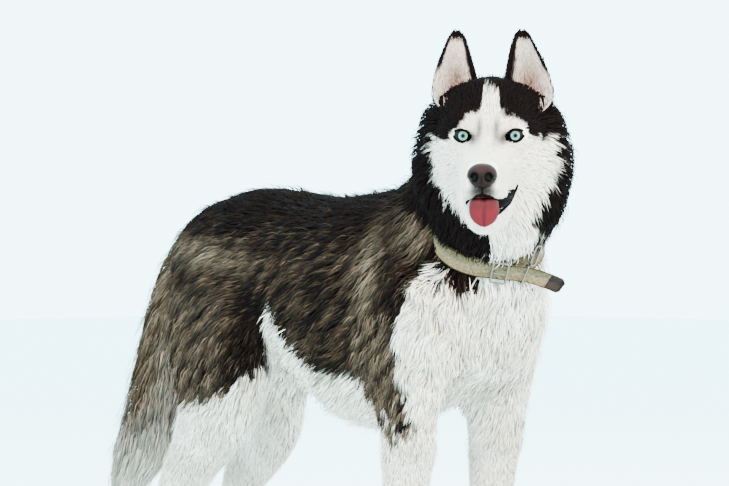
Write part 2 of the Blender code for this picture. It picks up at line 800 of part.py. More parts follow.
def lock_rings(root, knee, tip, out, half_width, thickness, room=0.0, steps=(0.0, 0.34, 0.68)):
    """The sections of a lock along its bend from root over knee to tip: left edge, right edge and ridge.

    With room, the sections lie that far outside the lock's own."""
    rings = []
    for s in steps:
        point = root * (1 - s) ** 2 + knee * 2 * s * (1 - s) + tip * s * s
        along = ((knee - root) * (1 - s) + (tip - knee) * s).normalized()
        side = out.cross(along).normalized()
        ridge = along.cross(side).normalized()
        width = half_width * (0.78 + 0.9 * s - 1.25 * s * s) + room
        low, high = point - ridge * room, point + ridge * (thickness * (1 - 0.35 * s) + room)
        rings.append([low + side * width, low - side * width, high])
    return rings


def tree_of_rings(rings, tip):
    """A search tree over the sides of a body through rings that closes on a tip."""
    points = [p for points in rings for p in points] + [tip]
    count = len(rings[0])
    faces = [
        (i * count + k, i * count + (k + 1) % count, (i + 1) * count + (k + 1) % count, (i + 1) * count + k)
        for i in range(len(rings) - 1)
        for k in range(count)
    ]
    last = (len(rings) - 1) * count
    faces += [(last + k, last + (k + 1) % count, len(points) - 1) for k in range(count)]
    return BVHTree.FromPolygons(points, faces)


def grow_lock(tree, others, start, way, length, depth, half_width, thickness, follow=1.0):
    """One flat tapered lock on the surface near start, or None where there is no room for it.

    It leaves the surface along way and ends depth outside it. With follow at 0 it hangs straight instead of
    lying along the surface. It is made shorter where its full length would come too near another body."""
    hit, out, _, _ = tree.find_nearest(start)
    along = (way - out * way.dot(out)).normalized()
    for share in (1.0, 0.8, 0.62):
        reach = hit + along * length * share
        near, lift, _, _ = tree.find_nearest(reach)
        tip = (near + lift * depth) * follow + (reach + out * depth) * (1 - follow)
        root = hit - out * LOCK_SINK - along * length * 0.04
        knee = hit + along * length * share * 0.42 + out * depth * 0.90
        width = half_width * (0.6 + 0.4 * share)
        room = tree_of_rings(
            lock_rings(root, knee, tip, out, width, thickness, LOCK_ROOM), tip + (tip - knee).normalized() * LOCK_ROOM
        )
        if not any(room.overlap(other) for other in others):
            return loft("lock", lock_rings(root, knee, tip, out, width, thickness), tip)
    return None


def fuse(obj, locks):
    """Joins locks to the body that they grow from with one union, and drops what doesn't reach it."""
    group = bpy.data.collections.new("locks")
    bpy.context.scene.collection.children.link(group)
    for lock in locks:
        group.objects.link(lock)
    step = obj.modifiers.new("union", "BOOLEAN")
    step.operation = "UNION"
    step.operand_type = "COLLECTION"
    step.solver = "EXACT"
    step.collection = group
    evaluated(obj)
    for lock in locks:
        bpy.data.objects.remove(lock)
    bpy.data.collections.remove(group)
    return largest_body(obj)


def ruff_locks(head, others, draw):
    """The ruff round the cheeks and throat, whose locks lie back and down over one another."""
    tree, made = tree_of(head), []
    for i, forward in enumerate((-0.020, -0.042, -0.064, -0.086)):
        for side in (-1, 1):
            for k in range(6):
                angle = math.radians(30 - 23 * (k + 0.5 * (i % 2)) + draw.uniform(-4, 4))
                out = LEFT * side * math.cos(angle) + UPWARD * math.sin(angle)
                start = in_head(forward, 0, -0.035) + out * 0.12
                way = -FORWARD * 0.75 - UPWARD * 0.55 + LEFT * side * 0.15
                length = 0.052 * draw.uniform(0.85, 1.15)
                depth = RUFF_DEPTH * (0.85 if k < 2 else 0.65)
                made.append(grow_lock(tree, others, start, way, length, depth, 0.0135, 0.0055))
    return [lock for lock in made if lock]


def mane_locks(neck, others, draw):
    """The mane over the nape and the sides of the neck, combed back toward the withers."""
    tree, made = tree_of(neck), []
    for i, (x, y, z) in enumerate(((-0.024, -0.200, 0.620), (-0.012, -0.165, 0.585), (-0.002, -0.125, 0.555))):
        for k in range(6):
            angle = math.radians(-5 + 34 * (k + 0.5 * (i % 2)) + draw.uniform(-5, 5))
            out = Vector((math.cos(angle), 0.35 * math.sin(angle), 0.95 * math.sin(angle)))
            way = Vector((0.0, 0.80, -0.60))
            length = 0.050 * draw.uniform(0.9, 1.1)
            made.append(
                grow_lock(tree, others, Vector((x, y, z)) + out * 0.10, way, length, MANE_DEPTH, 0.0165, 0.0070)
            )
    return [lock for lock in made if lock]


def bib_locks(torso, others, draw):
    """The bib of the chest, in tiers that hang over one another down to between the forelegs."""
    tree, made = tree_of(torso), []
    for i in range(5):
        z = 0.460 - 0.031 * i
        count = 7 - i
        for k in range(count):
            angle = math.radians(-78 + 156 * (k + 0.5) / count + draw.uniform(-4, 4))
            out = Vector((math.sin(angle), -math.cos(angle), 0.0))
            start = Vector((0.0, -0.195, z + draw.uniform(-0.004, 0.004))) + out * 0.12
            length = 0.048 * draw.uniform(0.9, 1.15)
            way = Vector((0.0, 0.12, -1.0))
            made.append(grow_lock(tree, others, start, way, length, BIB_DEPTH * 0.7, 0.0150, 0.0055))
    return [lock for lock in made if lock]


def breeches_locks(thigh, others, side, set_back, draw):
    """The breeches down the back of a thigh."""
    tree, made = tree_of(thigh), []
    for i in range(5):
        z = 0.445 - 0.032 * i
        for k in range(3):
            angle = math.radians(-34 + 40 * (k + 0.25 * (i % 2)) + draw.uniform(-6, 6))
            out = Vector((side * math.sin(angle), math.cos(angle), 0.0))
            start = Vector((side * 0.078, 0.245 + set_back, z)) + out * 0.10
            length = 0.056 * draw.uniform(0.9, 1.15)
            way = Vector((0.0, 0.10, -1.0))
            made.append(grow_lock(tree, others, start, way, length, BREECHES_DEPTH, 0.0150, 0.0060, 0.7))
    return [lock for lock in made if lock]


def tail_locks(tail, others, draw):
    """The brush of the tail, in tiers of locks that lie along it and close over its tip."""
    tree, made = tree_of(tail), []
    rows = smooth_rows(TAIL, 4)
    for i in range(9):
        at = 4 + 3 * i
        row, ahead = rows[at], rows[at + 2]
        along = Vector(ahead[:3] - row[:3]).normalized()
        across = Vector((1, 0, 0))
        front = across.cross(along).normalized()
        count = 6 if i < 7 else 5
        for k in range(count):
            angle = 2 * math.pi * (k + 0.5 * (i % 2)) / count + draw.uniform(-0.12, 0.12)
            out = across * math.cos(angle) + front * math.sin(angle)
            length = 0.078 * draw.uniform(0.9, 1.12)
            depth = row[3] * (1 - TAIL_CORE_SHARE) + 0.001
            start = Vector(row[:3]) + out * 0.05
            made.append(grow_lock(tree, others, start, along, length, depth, 0.0185, 0.0075, 0.7))
    return [lock for lock in made if lock]


def add_locks(nodes):
    """Grows the long coat on each node in turn, clear of all the others."""
    draw = np.random.default_rng(SEED)
    back = HIND_SET_BACK[3]
    growers = {
        "head": lambda node, others: ruff_locks(node, others, draw),
        "neck": lambda node, others: mane_locks(node, others, draw),
        "torso": lambda node, others: bib_locks(node, others, draw),
        "thigh_right": lambda node, others: breeches_locks(node, others, -1, 0.0, draw),
        "thigh_left": lambda node, others: breeches_locks(node, others, 1, back, draw),
        "tail": lambda node, others: tail_locks(node, others, draw),
    }
    for name, grow in growers.items():
        others = [tree_of(obj) for other, obj in nodes.items() if other != name]
        locks = grow(nodes[name], others)
        count = len(locks)
        fuse(nodes[name], locks)
        print(name, count, "locks", len(nodes[name].data.polygons), "triangles")


# The ears by height above the eyes: inner edge, outer edge, how far forward the edges are, depth of the cup
EAR_ROWS = (
    (0.026, 0.014, 0.0765, -0.036, 0.020),
    (0.045, 0.015, 0.0760, -0.042, 0.024),
    (0.065, 0.0205, 0.0730, -0.049, 0.024),
    (0.083, 0.0265, 0.0685, -0.055, 0.020),
    (0.100, 0.0320, 0.0620, -0.061, 0.014),
    (0.113, 0.0370, 0.0565, -0.066, 0.008),
    (0.1205, 0.0420, 0.0525, -0.069, 0.003),
    (0.1240, 0.0450, 0.0490, -0.070, 0.001),
)
EAR_TIP_LEAN = {"right": 0.0, "left": -0.014}


def ear(word, side):
    """One ear: a pointed cup that opens forward, thick at its foot and thin at its tip."""
    grid, thickness = [], []
    rows = np.array(EAR_ROWS)
    for up, inner, outer, forward, depth in rows:
        lean = EAR_TIP_LEAN[word] * (up - rows[0][0]) / (rows[-1][0] - rows[0][0])
        line = []
        for j in range(7):
            t = -1 + 2 * j / 6
            across = (inner + outer) / 2 + (outer - inner) / 2 * math.sin(t * math.pi / 2) + lean
            line.append(in_head(forward - depth * (1 - t * t), side * across, up))
        grid.append(line)
        thickness.append(EAR_THICKNESS * (1.0 - 0.5 * (up - rows[0][0]) / (rows[-1][0] - rows[0][0])))
    return vane(f"ear_{word}", grid, thickness)


def nose_pad():
    """The leather of the nose, with a nostril cut into each side."""
    forward, up = NOSE_MIDDLE
    nose = ball("nose", in_head(forward, 0, up), NOSE_HALF_SIZES, head_turn())
    for side in (-1, 1):
        points = [
            in_head(forward + 0.020, side * 0.0065, up - 0.001),
            in_head(forward + 0.006, side * 0.0070, up - 0.001),
        ]
        boolean(nose, tube("nostril", points, NOSTRIL_RADIUS, 8), "DIFFERENCE")
        points = [
            in_head(forward + 0.009, side * 0.0080, up - 0.0015),
            in_head(forward + 0.004, side * 0.0200, up - 0.0045),
        ]
        boolean(nose, tube("nostril_slit", points, NOSTRIL_RADIUS * 0.45, 5), "DIFFERENCE")
    return largest_body(nose)


# Half of each lip's line from the corner of the mouth to the front: forward, to the side, up
UPPER_LIP = (
    (0.034, 0.0335, -0.0575),
    (0.046, 0.0315, -0.0640),
    (0.062, 0.0285, -0.0665),
    (0.080, 0.0245, -0.0655),
    (0.094, 0.0175, -0.0635),
    (0.1015, 0.0080, -0.0615),
)
LOWER_LIP = (
    (0.034, 0.0320, -0.0610),
    (0.048, 0.0265, -0.0740),
    (0.064, 0.0220, -0.0800),
    (0.080, 0.0165, -0.0840),
    (0.0905, 0.0080, -0.0865),
)


def lip(name, half):
    """A lip as a soft rim along the edge of the mouth, from one corner to the other."""
    full = [(f, -s, u) for f, s, u in half] + [(f, s, u) for f, s, u in reversed(half)]
    return tube(name, [in_head(*p) for p in full], LIP_RADIUS, 5)


# The side view of the gap between the jaws, as forward and up
MOUTH_OUTLINE = (
    (0.034, -0.0590),
    (0.050, -0.0650),
    (0.066, -0.0670),
    (0.085, -0.0650),
    (0.130, -0.0600),
    (0.130, -0.0980),
    (0.094, -0.0870),
    (0.066, -0.0805),
    (0.050, -0.0745),
)

# The tongue along its middle: forward, up, half width
TONGUE_ROWS = (
    (0.048, -0.0800, 0.0120),
    (0.068, -0.0800, 0.0155),
    (0.084, -0.0790, 0.0175),
    (0.0955, -0.0815, 0.0180),
    (0.1010, -0.0890, 0.0170),
    (0.1010, -0.0950, 0.0125),
    (0.1000, -0.0985, 0.0055),
)


def tongue_body():
    """The tongue: a slab with a groove along its middle that lies on the lower jaw and hangs over its front."""
    rows = smooth_rows(TONGUE_ROWS, 1)
    grid = []
    for i, (forward, up, half_width) in enumerate(rows):
        along = rows[min(i + 1, len(rows) - 1)][:2] - rows[max(i - 1, 0)][:2]
        along /= np.linalg.norm(along)
        out = head_direction(-along[1], along[0])
        line = []
        for j in range(7):
            t = -1 + 2 * j / 6
            sink = TONGUE_GROOVE * (math.exp(-((t / 0.22) ** 2)) + 1.3 * abs(t) ** 3)
            line.append(in_head(forward, half_width * t, up) - out * sink)
        grid.append(line)
    return vane("tongue", grid, [TONGUE_THICKNESS] * (len(rows) - 2) + [TONGUE_THICKNESS * 0.8, TONGUE_THICKNESS * 0.5])


def head_nodes(head):
    """Gives the head its mouth, lips, eyes, nose and ears, and parts the lower jaw off it."""
    boolean(head, prism("mouth", MOUTH_OUTLINE, 0.060, EYES_MIDDLE, FORWARD, UPWARD, LEFT), "DIFFERENCE")
    largest_body(head)
    corner = in_head(0.034, 0, -0.0600)
    planes = [
        (corner, head_direction(0.19, 0.98)),
        (corner, head_direction(-0.95, 0.31)),
    ]
    jaw = part_off(head, "lower_jaw", planes)
    boolean(head, lip("upper_lip", UPPER_LIP), "UNION")
    boolean(jaw, lip("lower_lip", LOWER_LIP), "UNION")
    nodes = {"head": head, "lower_jaw": jaw}
    nodes.update(eyes_and_lids(head))
    nodes["nose"] = nose_pad()
    clear_of(head, nodes["nose"])
    nodes["tongue"] = tongue_body()
    clear_of(jaw, nodes["tongue"], head)
    clear_of(head, nodes["tongue"])
    for side, word in ((-1, "right"), (1, "left")):
        nodes[f"ear_{word}"] = clear_of(ear(word, side), head)
    return nodes


# The loose end of the collar from the buckle: to the dog's left, outward, and along the neck
LOOSE_END = (
    (-0.004, 0.0000, 0.000),
    (0.012, 0.0005, -0.002),
    (0.028, -0.002, -0.005),
    (0.044, -0.005, -0.010),
    (0.060, -0.007, -0.017),
    (0.074, -0.008, -0.024),
    (0.086, -0.009, -0.031),
)
ACROSS_END = (-0.5, -0.25, 0.0, 0.25, 0.5)
TIP_ROWS = 3


def wire_loop(name, centre, first, second, half_first, half_second, radius=WIRE_RADIUS):
    """A closed wire in the shape of a rounded rectangle on the axes first and second."""
    points = []
    for i in range(16):
        t = 2 * math.pi * i / 16
        c, s = math.cos(t), math.sin(t)
        a = math.copysign(abs(c) ** 0.35, c) * half_first
        b = math.copysign(abs(s) ** 0.35, s) * half_second
        points.append(centre + first * a + second * b)
    return tube(name, points, radius, 5, closed=True)


def collar_nodes():
    """The band round the neck, its loose end with a stitched tip, the buckle, the keeper and the leash ring."""
    nodes = {}
    nodes["collar_band"] = hoop("collar_band", COLLAR_RADIUS - COLLAR_THICKNESS, COLLAR_RADIUS, COLLAR_WIDTH / 2)
    end_thickness = COLLAR_THICKNESS * 0.8
    start = collar_point(0.0, COLLAR_RADIUS + end_thickness / 2 + 0.0012)
    outward = (start - COLLAR_CENTRE).normalized()
    up = COLLAR_NORMAL
    line = [start + COLLAR_LEFT * a + outward * b + up * c for a, b, c in smooth_rows(LOOSE_END, 2)]
    grid, frames = [], []
    for i, centre in enumerate(line):
        along = (line[min(i + 1, len(line) - 1)] - line[max(i - 1, 0)]).normalized()
        across = (up - along * up.dot(along)).normalized()
        frames.append((centre, along, across, across.cross(along) * -1))
        grid.append([centre + across * COLLAR_END_WIDTH * s for s in ACROSS_END])
    cut = len(grid) - 1 - TIP_ROWS
    strap, tip = grid[: cut + 1], grid[cut:]
    along = frames[cut][1]
    tip[0] = [p + along * GAP for p in tip[0]]
    tip[-1] = [p - along * 0.012 * s * s for p, s in zip(tip[-1], ACROSS_END)]
    nodes["collar_end"] = vane("collar_end", strap, [end_thickness] * len(strap))
    nodes["collar_tip"] = vane("collar_tip", tip, [COLLAR_THICKNESS] * len(tip))
    over = end_thickness / 2 + WIRE_RADIUS + 0.0005
    centre, along, across, out = frames[1]
    if out.dot(outward) < 0:
        frames = [(c, a, u, -o) for c, a, u, o in frames]
        out = -out
    middle = centre + out * over
    nodes["buckle_frame"] = wire_loop("buckle_frame", middle, along, across, 0.0095, 0.0150, WIRE_RADIUS)
    prong = [middle + along * a + out * b for a, b in ((-0.0072, 0.0), (0.0, 0.0004), (0.0072, 0.0))]
    nodes["buckle_prong"] = tube("buckle_prong", prong, WIRE_RADIUS * 0.7, 6)
    centre, along, across, out = frames[5]
    half_high = COLLAR_END_WIDTH / 2 + WIRE_RADIUS + 0.0008
    nodes["keeper_loop"] = wire_loop("keeper_loop", centre, out, across, end_thickness / 2 + WIRE_RADIUS + 0.0008,
                                     half_high, WIRE_RADIUS * 0.8)
    centre = collar_point(LEASH_RING_TURN, COLLAR_RADIUS + WIRE_RADIUS + 0.0006, 0.008)
    side = (collar_point(LEASH_RING_TURN + 0.05) - collar_point(LEASH_RING_TURN - 0.05)).normalized()
    lean = (up + side * 0.5).normalized()
    across = side - lean * side.dot(lean)
    nodes["leash_ring"] = wire_loop("leash_ring", centre, across.normalized(), lean, 0.0060, 0.0130,
                                    WIRE_RADIUS * 0.9)
    return nodes


def main():
    clear_scene()
    finishes = {
        "fur": material("fur", (0.33, 0.31, 0.29), 0.85),
        "eye": material("eye", (0.45, 0.68, 0.70), 0.10),
        "nose": material("nose_leather", (0.055, 0.045, 0.045), 0.45),
        "tongue": material("tongue", (0.48, 0.13, 0.15), 0.35),
        "felt": material("collar_felt", (0.22, 0.20, 0.12), 0.90),
        "leather": material("dark_leather", (0.045, 0.025, 0.022), 0.60),
        "nickel": material("nickel", (0.70, 0.69, 0.66), 0.25, 1.0),
    }
    flesh = whole_flesh()
    print("flesh", len(flesh.data.polygons))
    thinned(flesh, [not is_head(v.co) for v in flesh.data.vertices], BODY_TRIANGLES)
    thinned(flesh, [is_head(v.co) for v in flesh.data.vertices], HEAD_TRIANGLES)
    nodes = body_nodes(flesh)
    nodes.update(head_nodes(nodes.pop("head")))
    add_claws(nodes)
    tail_rows = [(x, y, z, d * TAIL_CORE_SHARE, w * TAIL_CORE_SHARE) for x, y, z, d, w in TAIL]
    nodes["tail"] = clear_of(limb("tail", tail_rows, 1, count=10), nodes["torso"], nodes["thigh_right"], nodes["thigh_left"])
    nodes.update(collar_nodes())
    groove = hoop("groove", COLLAR_RADIUS - COLLAR_THICKNESS - GAP, groove_radius, COLLAR_WIDTH / 2 + GAP)
    boolean(nodes["neck"], groove, "DIFFERENCE")
    worn = [name for name in nodes if name.startswith(("collar", "buckle", "keeper", "leash"))]
    for name in ("head", "neck", "torso"):
        for piece in worn:
            if name + piece != "neckcollar_band" and boxes_meet(nodes[name], nodes[piece]):
                clear_of(nodes[name], nodes[piece], by=WORN_GAP)
    for word in ("right", "left"):
        clear_of(nodes[f"ear_{word}"], nodes["neck"])
    add_locks(nodes)
    looks = {"eye": "eye", "nose": "nose", "tongue": "tongue", "collar_tip": "leather", "collar": "felt"}
    looks.update({"buckle": "nickel", "keeper": "nickel", "leash": "nickel"})
    points = [v.co for obj in nodes.values() for v in obj.data.vertices]
    shift = Vector([-(min(p[k] for p in points) + max(p[k] for p in points)) / 2 for k in (0, 1)] + [0.0])
    for name, obj in nodes.items():
        obj.name = name
        obj.data.transform(Matrix.Translation(shift))
        look = next((finish for start, finish in looks.items() if name.startswith(start)), "fur")
        obj.data.materials.clear()
        obj.data.materials.append(finishes[look])
        print(name, len(obj.data.polygons))


main()
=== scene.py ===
# %% [markdown]
# # A husky's coat, face and collar over its CAD solids
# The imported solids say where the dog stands, how big it is and where its collar sits. This script puts a
# skin inside them, grows a coat of small mesh tufts out to their surface, and adds eyes, nose, tongue,
# claws and collar as pieces of their own. Everything is measured in metres, with the dog facing -Y and +Z
# up.

# %% Load the solids
import math

import bmesh
import bpy
import numpy as np
from mathutils import Matrix, Vector
from mathutils.bvhtree import BVHTree


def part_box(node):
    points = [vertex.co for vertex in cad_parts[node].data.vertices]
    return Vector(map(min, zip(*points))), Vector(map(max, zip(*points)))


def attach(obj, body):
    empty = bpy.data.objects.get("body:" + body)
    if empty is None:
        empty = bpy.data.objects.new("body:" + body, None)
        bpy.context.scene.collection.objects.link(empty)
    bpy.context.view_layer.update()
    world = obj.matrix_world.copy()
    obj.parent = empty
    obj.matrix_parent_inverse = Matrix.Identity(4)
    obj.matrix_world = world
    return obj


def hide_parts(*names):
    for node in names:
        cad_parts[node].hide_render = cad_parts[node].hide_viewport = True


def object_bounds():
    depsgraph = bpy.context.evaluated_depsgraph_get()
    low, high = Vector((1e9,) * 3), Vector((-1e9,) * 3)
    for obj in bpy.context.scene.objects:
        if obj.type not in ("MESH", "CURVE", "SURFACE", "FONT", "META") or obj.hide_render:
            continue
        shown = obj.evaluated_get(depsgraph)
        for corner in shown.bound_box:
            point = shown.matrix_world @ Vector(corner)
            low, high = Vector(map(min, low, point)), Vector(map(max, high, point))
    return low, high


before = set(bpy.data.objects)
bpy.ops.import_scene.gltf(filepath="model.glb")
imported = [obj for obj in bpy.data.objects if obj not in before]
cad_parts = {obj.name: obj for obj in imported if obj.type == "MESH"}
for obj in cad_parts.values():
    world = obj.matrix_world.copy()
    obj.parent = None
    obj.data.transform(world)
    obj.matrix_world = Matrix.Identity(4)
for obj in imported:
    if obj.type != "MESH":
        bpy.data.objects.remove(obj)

cad_low, cad_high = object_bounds()
print("CAD box", [round(v, 4) for v in (*cad_low, *cad_high)])

# %% [markdown]
# ## Small tools
# Long tables are written in millimetres, and these tools turn them into metres and smooth curves. Others
# make colours, soft edges and noise.

# %% Tools for numbers and colours
SEED = 7


def metres(rows):
    """A table in millimetres as an array in metres."""
    return np.array(rows, float) / 1000


def unit(vectors):
    """A vector, or each row of several, at length one."""
    return vectors / np.linalg.norm(vectors, axis=-1, keepdims=True)


def smooth_step(value, low_edge, high_edge):
    t = np.clip((value - low_edge) / (high_edge - low_edge), 0.0, 1.0)
    return t * t * (3 - 2 * t)


def spot(a, b, middle, size):
    """1 at a middle on two coordinates, and less away from it over the given sizes."""
    return np.exp(-(((a - middle[0]) / size[0]) ** 2 + ((b - middle[1]) / size[1]) ** 2))


def ripple(points, size, seed):
    """Smooth noise of about -1 to 1 that changes over the given size."""
    draw = np.random.default_rng(seed)
    total = np.zeros(len(points))
    for _ in range(10):
        way = draw.normal(size=3)
        way *= 2 * math.pi / size * draw.uniform(0.6, 1.5) / np.linalg.norm(way)
        total += np.sin(points @ way + draw.uniform(0, 2 * math.pi))
    return total / 3.2


def three_ripples(points, size, seeds):
    return np.column_stack([ripple(points, size, seed) for seed in seeds])


def smooth_rows(rows, steps):
    """Rows of numbers along a smooth curve through the given rows, with so many steps between each two."""
    rows = np.array(rows, float)
    padded = np.vstack([2 * rows[0] - rows[1], rows, 2 * rows[-1] - rows[-2]])
    found = []
    for i in range(len(rows) - 1):
        a, b, c, d = padded[i : i + 4]
        for t in np.arange(steps) / steps:
            bend = (2 * a - 5 * b + 4 * c - d) * t**2 + (3 * b - a - 3 * c + d) * t**3
            found.append(0.5 * (2 * b + (c - a) * t + bend))
    found.append(rows[-1])
    return np.array(found)


def channels(text):
    """Red, green and blue from 0 to 1 of an sRGB colour such as 'c0ffee'."""
    return np.array([int(text[i : i + 2], 16) for i in (0, 2, 4)]) / 255.0


def hex_colour(text):
    """Linear red, green and blue of an sRGB colour."""
    values = channels(text)
    return np.where(values <= 0.04045, values / 12.92, ((values + 0.055) / 1.055) ** 2.4)


def seen_as(text):
    """The colour of a matt surface that the bright studio and the film's curve show as this sRGB one."""
    return np.minimum(0.80 * (channels(text) / 0.93) ** 3.5, 0.82)


def mixed(first, second, share):
    share = np.asarray(share)[..., None]
    return first * (1 - share) + second * share


def shaded(first, second, share):
    """A mix in equal steps to the eye, which keeps a dark shade visible in bright light."""
    share = np.asarray(share)[..., None]
    return first ** (1 - share) * second**share


print("tools for numbers and colours ready")

# %% [markdown]
# ## Landmarks
# The design of the dog is given from a point on the floor between its legs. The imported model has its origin
# under the middle of its box, so the script finds the shift between the two from the right eye.

# %% Landmarks and the head's own axes
HEAD_TURN = math.radians(52.0)
HEAD_NOD = math.radians(7.7)
EYES_MIDDLE = np.array((-0.105, -0.308, 0.6405))
EYE_SPACING = 0.062
EYE_SET_BACK = 0.0085
EYE_RADIUS = 0.0115
LEVEL_WAY = np.array((-math.sin(HEAD_TURN), -math.cos(HEAD_TURN), 0.0))
FORWARD = LEVEL_WAY * math.cos(HEAD_NOD) - np.array((0.0, 0.0, math.sin(HEAD_NOD)))
LEFT = np.array((math.cos(HEAD_TURN), -math.sin(HEAD_TURN), 0.0))
UPWARD = np.cross(FORWARD, LEFT)
HEAD_AXES = np.array((FORWARD, LEFT, UPWARD))


def way_in_head(forward, left, up):
    return FORWARD * forward + LEFT * left + UPWARD * up


def in_head(forward, left, up):
    """A point of the design, given from the middle between the eyes."""
    return EYES_MIDDLE + FORWARD * forward + LEFT * left + UPWARD * up


def head_place(points):
    """How far forward, left and up of the eyes' middle points of the design lie."""
    return ((points - EYES_MIDDLE) @ HEAD_AXES.T).T


low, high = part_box("eye_right")
SHIFT = np.array((low + high) / 2) - in_head(-EYE_SET_BACK, -EYE_SPACING / 2, 0.0)
SHIFT[2] = 0.0
print("shift from the design to the packed model", SHIFT.round(4))

# The collar's ring lies on a plane that rises by COLLAR_SLOPE for each metre of x and of y
COLLAR_CENTRE = np.array((-0.015, -0.228, 0.518))
COLLAR_SLOPE = (0.438, 0.523)
COLLAR_RADIUS = 0.0713
COLLAR_WIDTH = 0.026
COLLAR_THICKNESS = 0.0034
COLLAR_END_WIDTH = 0.021
LEASH_RING_TURN = math.radians(39.0)
WIRE_RADIUS = 0.0014
NAPE_TURN = math.radians(-140.0)
COLLAR_NORMAL = unit(np.array((-COLLAR_SLOPE[0], -COLLAR_SLOPE[1], 1.0)))
BUCKLE_ANGLE = math.radians(230.0)
BUCKLE_WAY = np.array((math.cos(BUCKLE_ANGLE), math.sin(BUCKLE_ANGLE), 0.0))
COLLAR_LEFT = np.array((-BUCKLE_WAY[1], BUCKLE_WAY[0], 0.0))


def collar_point(turn, radius=COLLAR_RADIUS, lift=0.0):
    """A point of the ring: turn runs from the buckle to the dog's left, and lift is along the neck."""
    flat = BUCKLE_WAY * math.cos(turn) + COLLAR_LEFT * math.sin(turn)
    across = flat - COLLAR_NORMAL * flat.dot(COLLAR_NORMAL)
    return COLLAR_CENTRE + unit(across) * radius + COLLAR_NORMAL * lift


def round_collar(points):
    """How far points lie along the neck from the collar, from the neck's axis, and from the nape in turn."""
    lift = (points - COLLAR_CENTRE) @ COLLAR_NORMAL
    spoke = points - COLLAR_CENTRE - COLLAR_NORMAL * lift[:, None]
    turn = np.arctan2(spoke @ COLLAR_LEFT, spoke @ BUCKLE_WAY)
    from_nape = np.abs((turn - NAPE_TURN + math.pi) % (2 * math.pi) - math.pi)
    return lift, np.linalg.norm(spoke, axis=1), from_nape

# %% [markdown]
# ## Meshes
# These tools build meshes from arrays, give them a colour for each vertex, and hand each finished piece to
# the frame.

# %% Tools for meshes
def linked(name, data):
    """A new object at the origin, in the scene."""
    obj = bpy.data.objects.new(name, data)
    bpy.context.scene.collection.objects.link(obj)
    return obj


def paint(obj, colours):
    layer = obj.data.color_attributes.new("coat", "FLOAT_COLOR", "POINT")
    rgba = np.ones((len(obj.data.vertices), 4), np.float32)
    rgba[:, :3] = colours
    layer.data.foreach_set("color", rgba.ravel())


def shade_smooth(data):
    data.polygons.foreach_set("use_smooth", np.ones(len(data.polygons), bool))


def closed_mesh(name, points, faces, colours=None):
    """An object from points of the design, without doubles and with every face turned outwards."""
    data = bpy.data.meshes.new(name)
    data.from_pydata((np.asarray(points, float) + SHIFT).tolist(), [], faces)
    data.update()
    obj = linked(name, data)
    if colours is not None:
        paint(obj, colours)
    shade_smooth(data)
    mesh = bmesh.new()
    mesh.from_mesh(data)
    bmesh.ops.remove_doubles(mesh, verts=mesh.verts, dist=1e-7)
    bmesh.ops.recalc_face_normals(mesh, faces=mesh.faces)
    if mesh.calc_volume(signed=True) < 0:
        bmesh.ops.reverse_faces(mesh, faces=mesh.faces)
    mesh.to_mesh(data)
    mesh.free()
    return obj


def applied(obj):
    """The object with its modifiers made into its mesh."""
    bpy.context.view_layer.update()
    graph = bpy.context.evaluated_depsgraph_get()
    data = bpy.data.meshes.new_from_object(obj.evaluated_get(graph))
    obj.modifiers.clear()
    obj.data = data
    return obj


def piece(obj, look_name, slot, *nodes):
    """Gives a finished piece its material, hangs it under the root and hides the solids that it stands for;
    the slot is not used.
    """
    obj.data.materials.clear()
    obj.data.materials.append(LOOKS[look_name])
    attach(obj, "root")
    if nodes:
        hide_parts(*nodes)
    return obj


def closed_piece(name, shape, look_name, slot, *nodes):
    """A finished piece from its points, its faces and, where it has them, its colours."""
    return piece(closed_mesh(name, *shape), look_name, slot, *nodes)


def grid_faces(rows, columns, closed_across=False, closed_along=False):
    """Quads over a grid of points that is stored row by row."""
    faces = []
    for i in range(rows if closed_along else rows - 1):
        for j in range(columns if closed_across else columns - 1):
            n, m = (i + 1) % rows, (j + 1) % columns
            faces.append((i * columns + j, i * columns + m, n * columns + m, n * columns + j))
    return faces


def capped_faces(rows, columns):
    """Quads over a grid that closes across, and a face over its first row and its last."""
    size = rows * columns
    return grid_faces(rows, columns, True) + [tuple(range(columns))[::-1], tuple(range(size - columns, size))]


def slab_faces(rows, columns):
    """Faces of a thin slab: a grid, the same grid behind it, and the edge between the two."""
    size = rows * columns
    front = grid_faces(rows, columns)
    behind = [tuple(i + size for i in face[::-1]) for face in front]
    border = list(range(columns)) + [i * columns + columns - 1 for i in range(1, rows)]
    border += list(range(size - 2, size - columns - 1, -1)) + [i * columns for i in range(rows - 2, 0, -1)]
    return front + behind + [(b, a, a + size, b + size) for a, b in zip(border, border[1:] + border[:1])]


def along_at(points, i, closed=False):
    """The way from the point before one to the point after it."""
    if closed:
        return points[(i + 1) % len(points)] - points[i - 1]
    return points[min(i + 1, len(points) - 1)] - points[max(i - 1, 0)]


def tube(points, radii, sides=12, closed=False, flat=1.0):
    """Points and faces of a round tube along points. Flat below 1 makes its section an ellipse."""
    points = np.asarray(points, float)
    radii = np.broadcast_to(radii, len(points))
    found, normal = [], np.array((0.0, 0.0, 1.0))
    for i, point in enumerate(points):
        along = unit(along_at(points, i, closed))
        normal = unit(normal - along * normal.dot(along))
        other = np.cross(along, normal)
        for k in range(sides):
            t = 2 * math.pi * k / sides
            found.append(point + (normal * math.cos(t) + other * flat * math.sin(t)) * radii[i])
    faces = grid_faces(len(points), sides, True, True) if closed else capped_faces(len(points), sides)
    return np.array(found), faces


def head_tube(rows, steps, sides, flat=1.0):
    """A tube along rows of forward, left, up and radius, in millimetres from the eyes' middle."""
    rows = smooth_rows(metres(rows), steps)
    return tube([in_head(*row[:3]) for row in rows], rows[:, 3], sides, flat=flat)


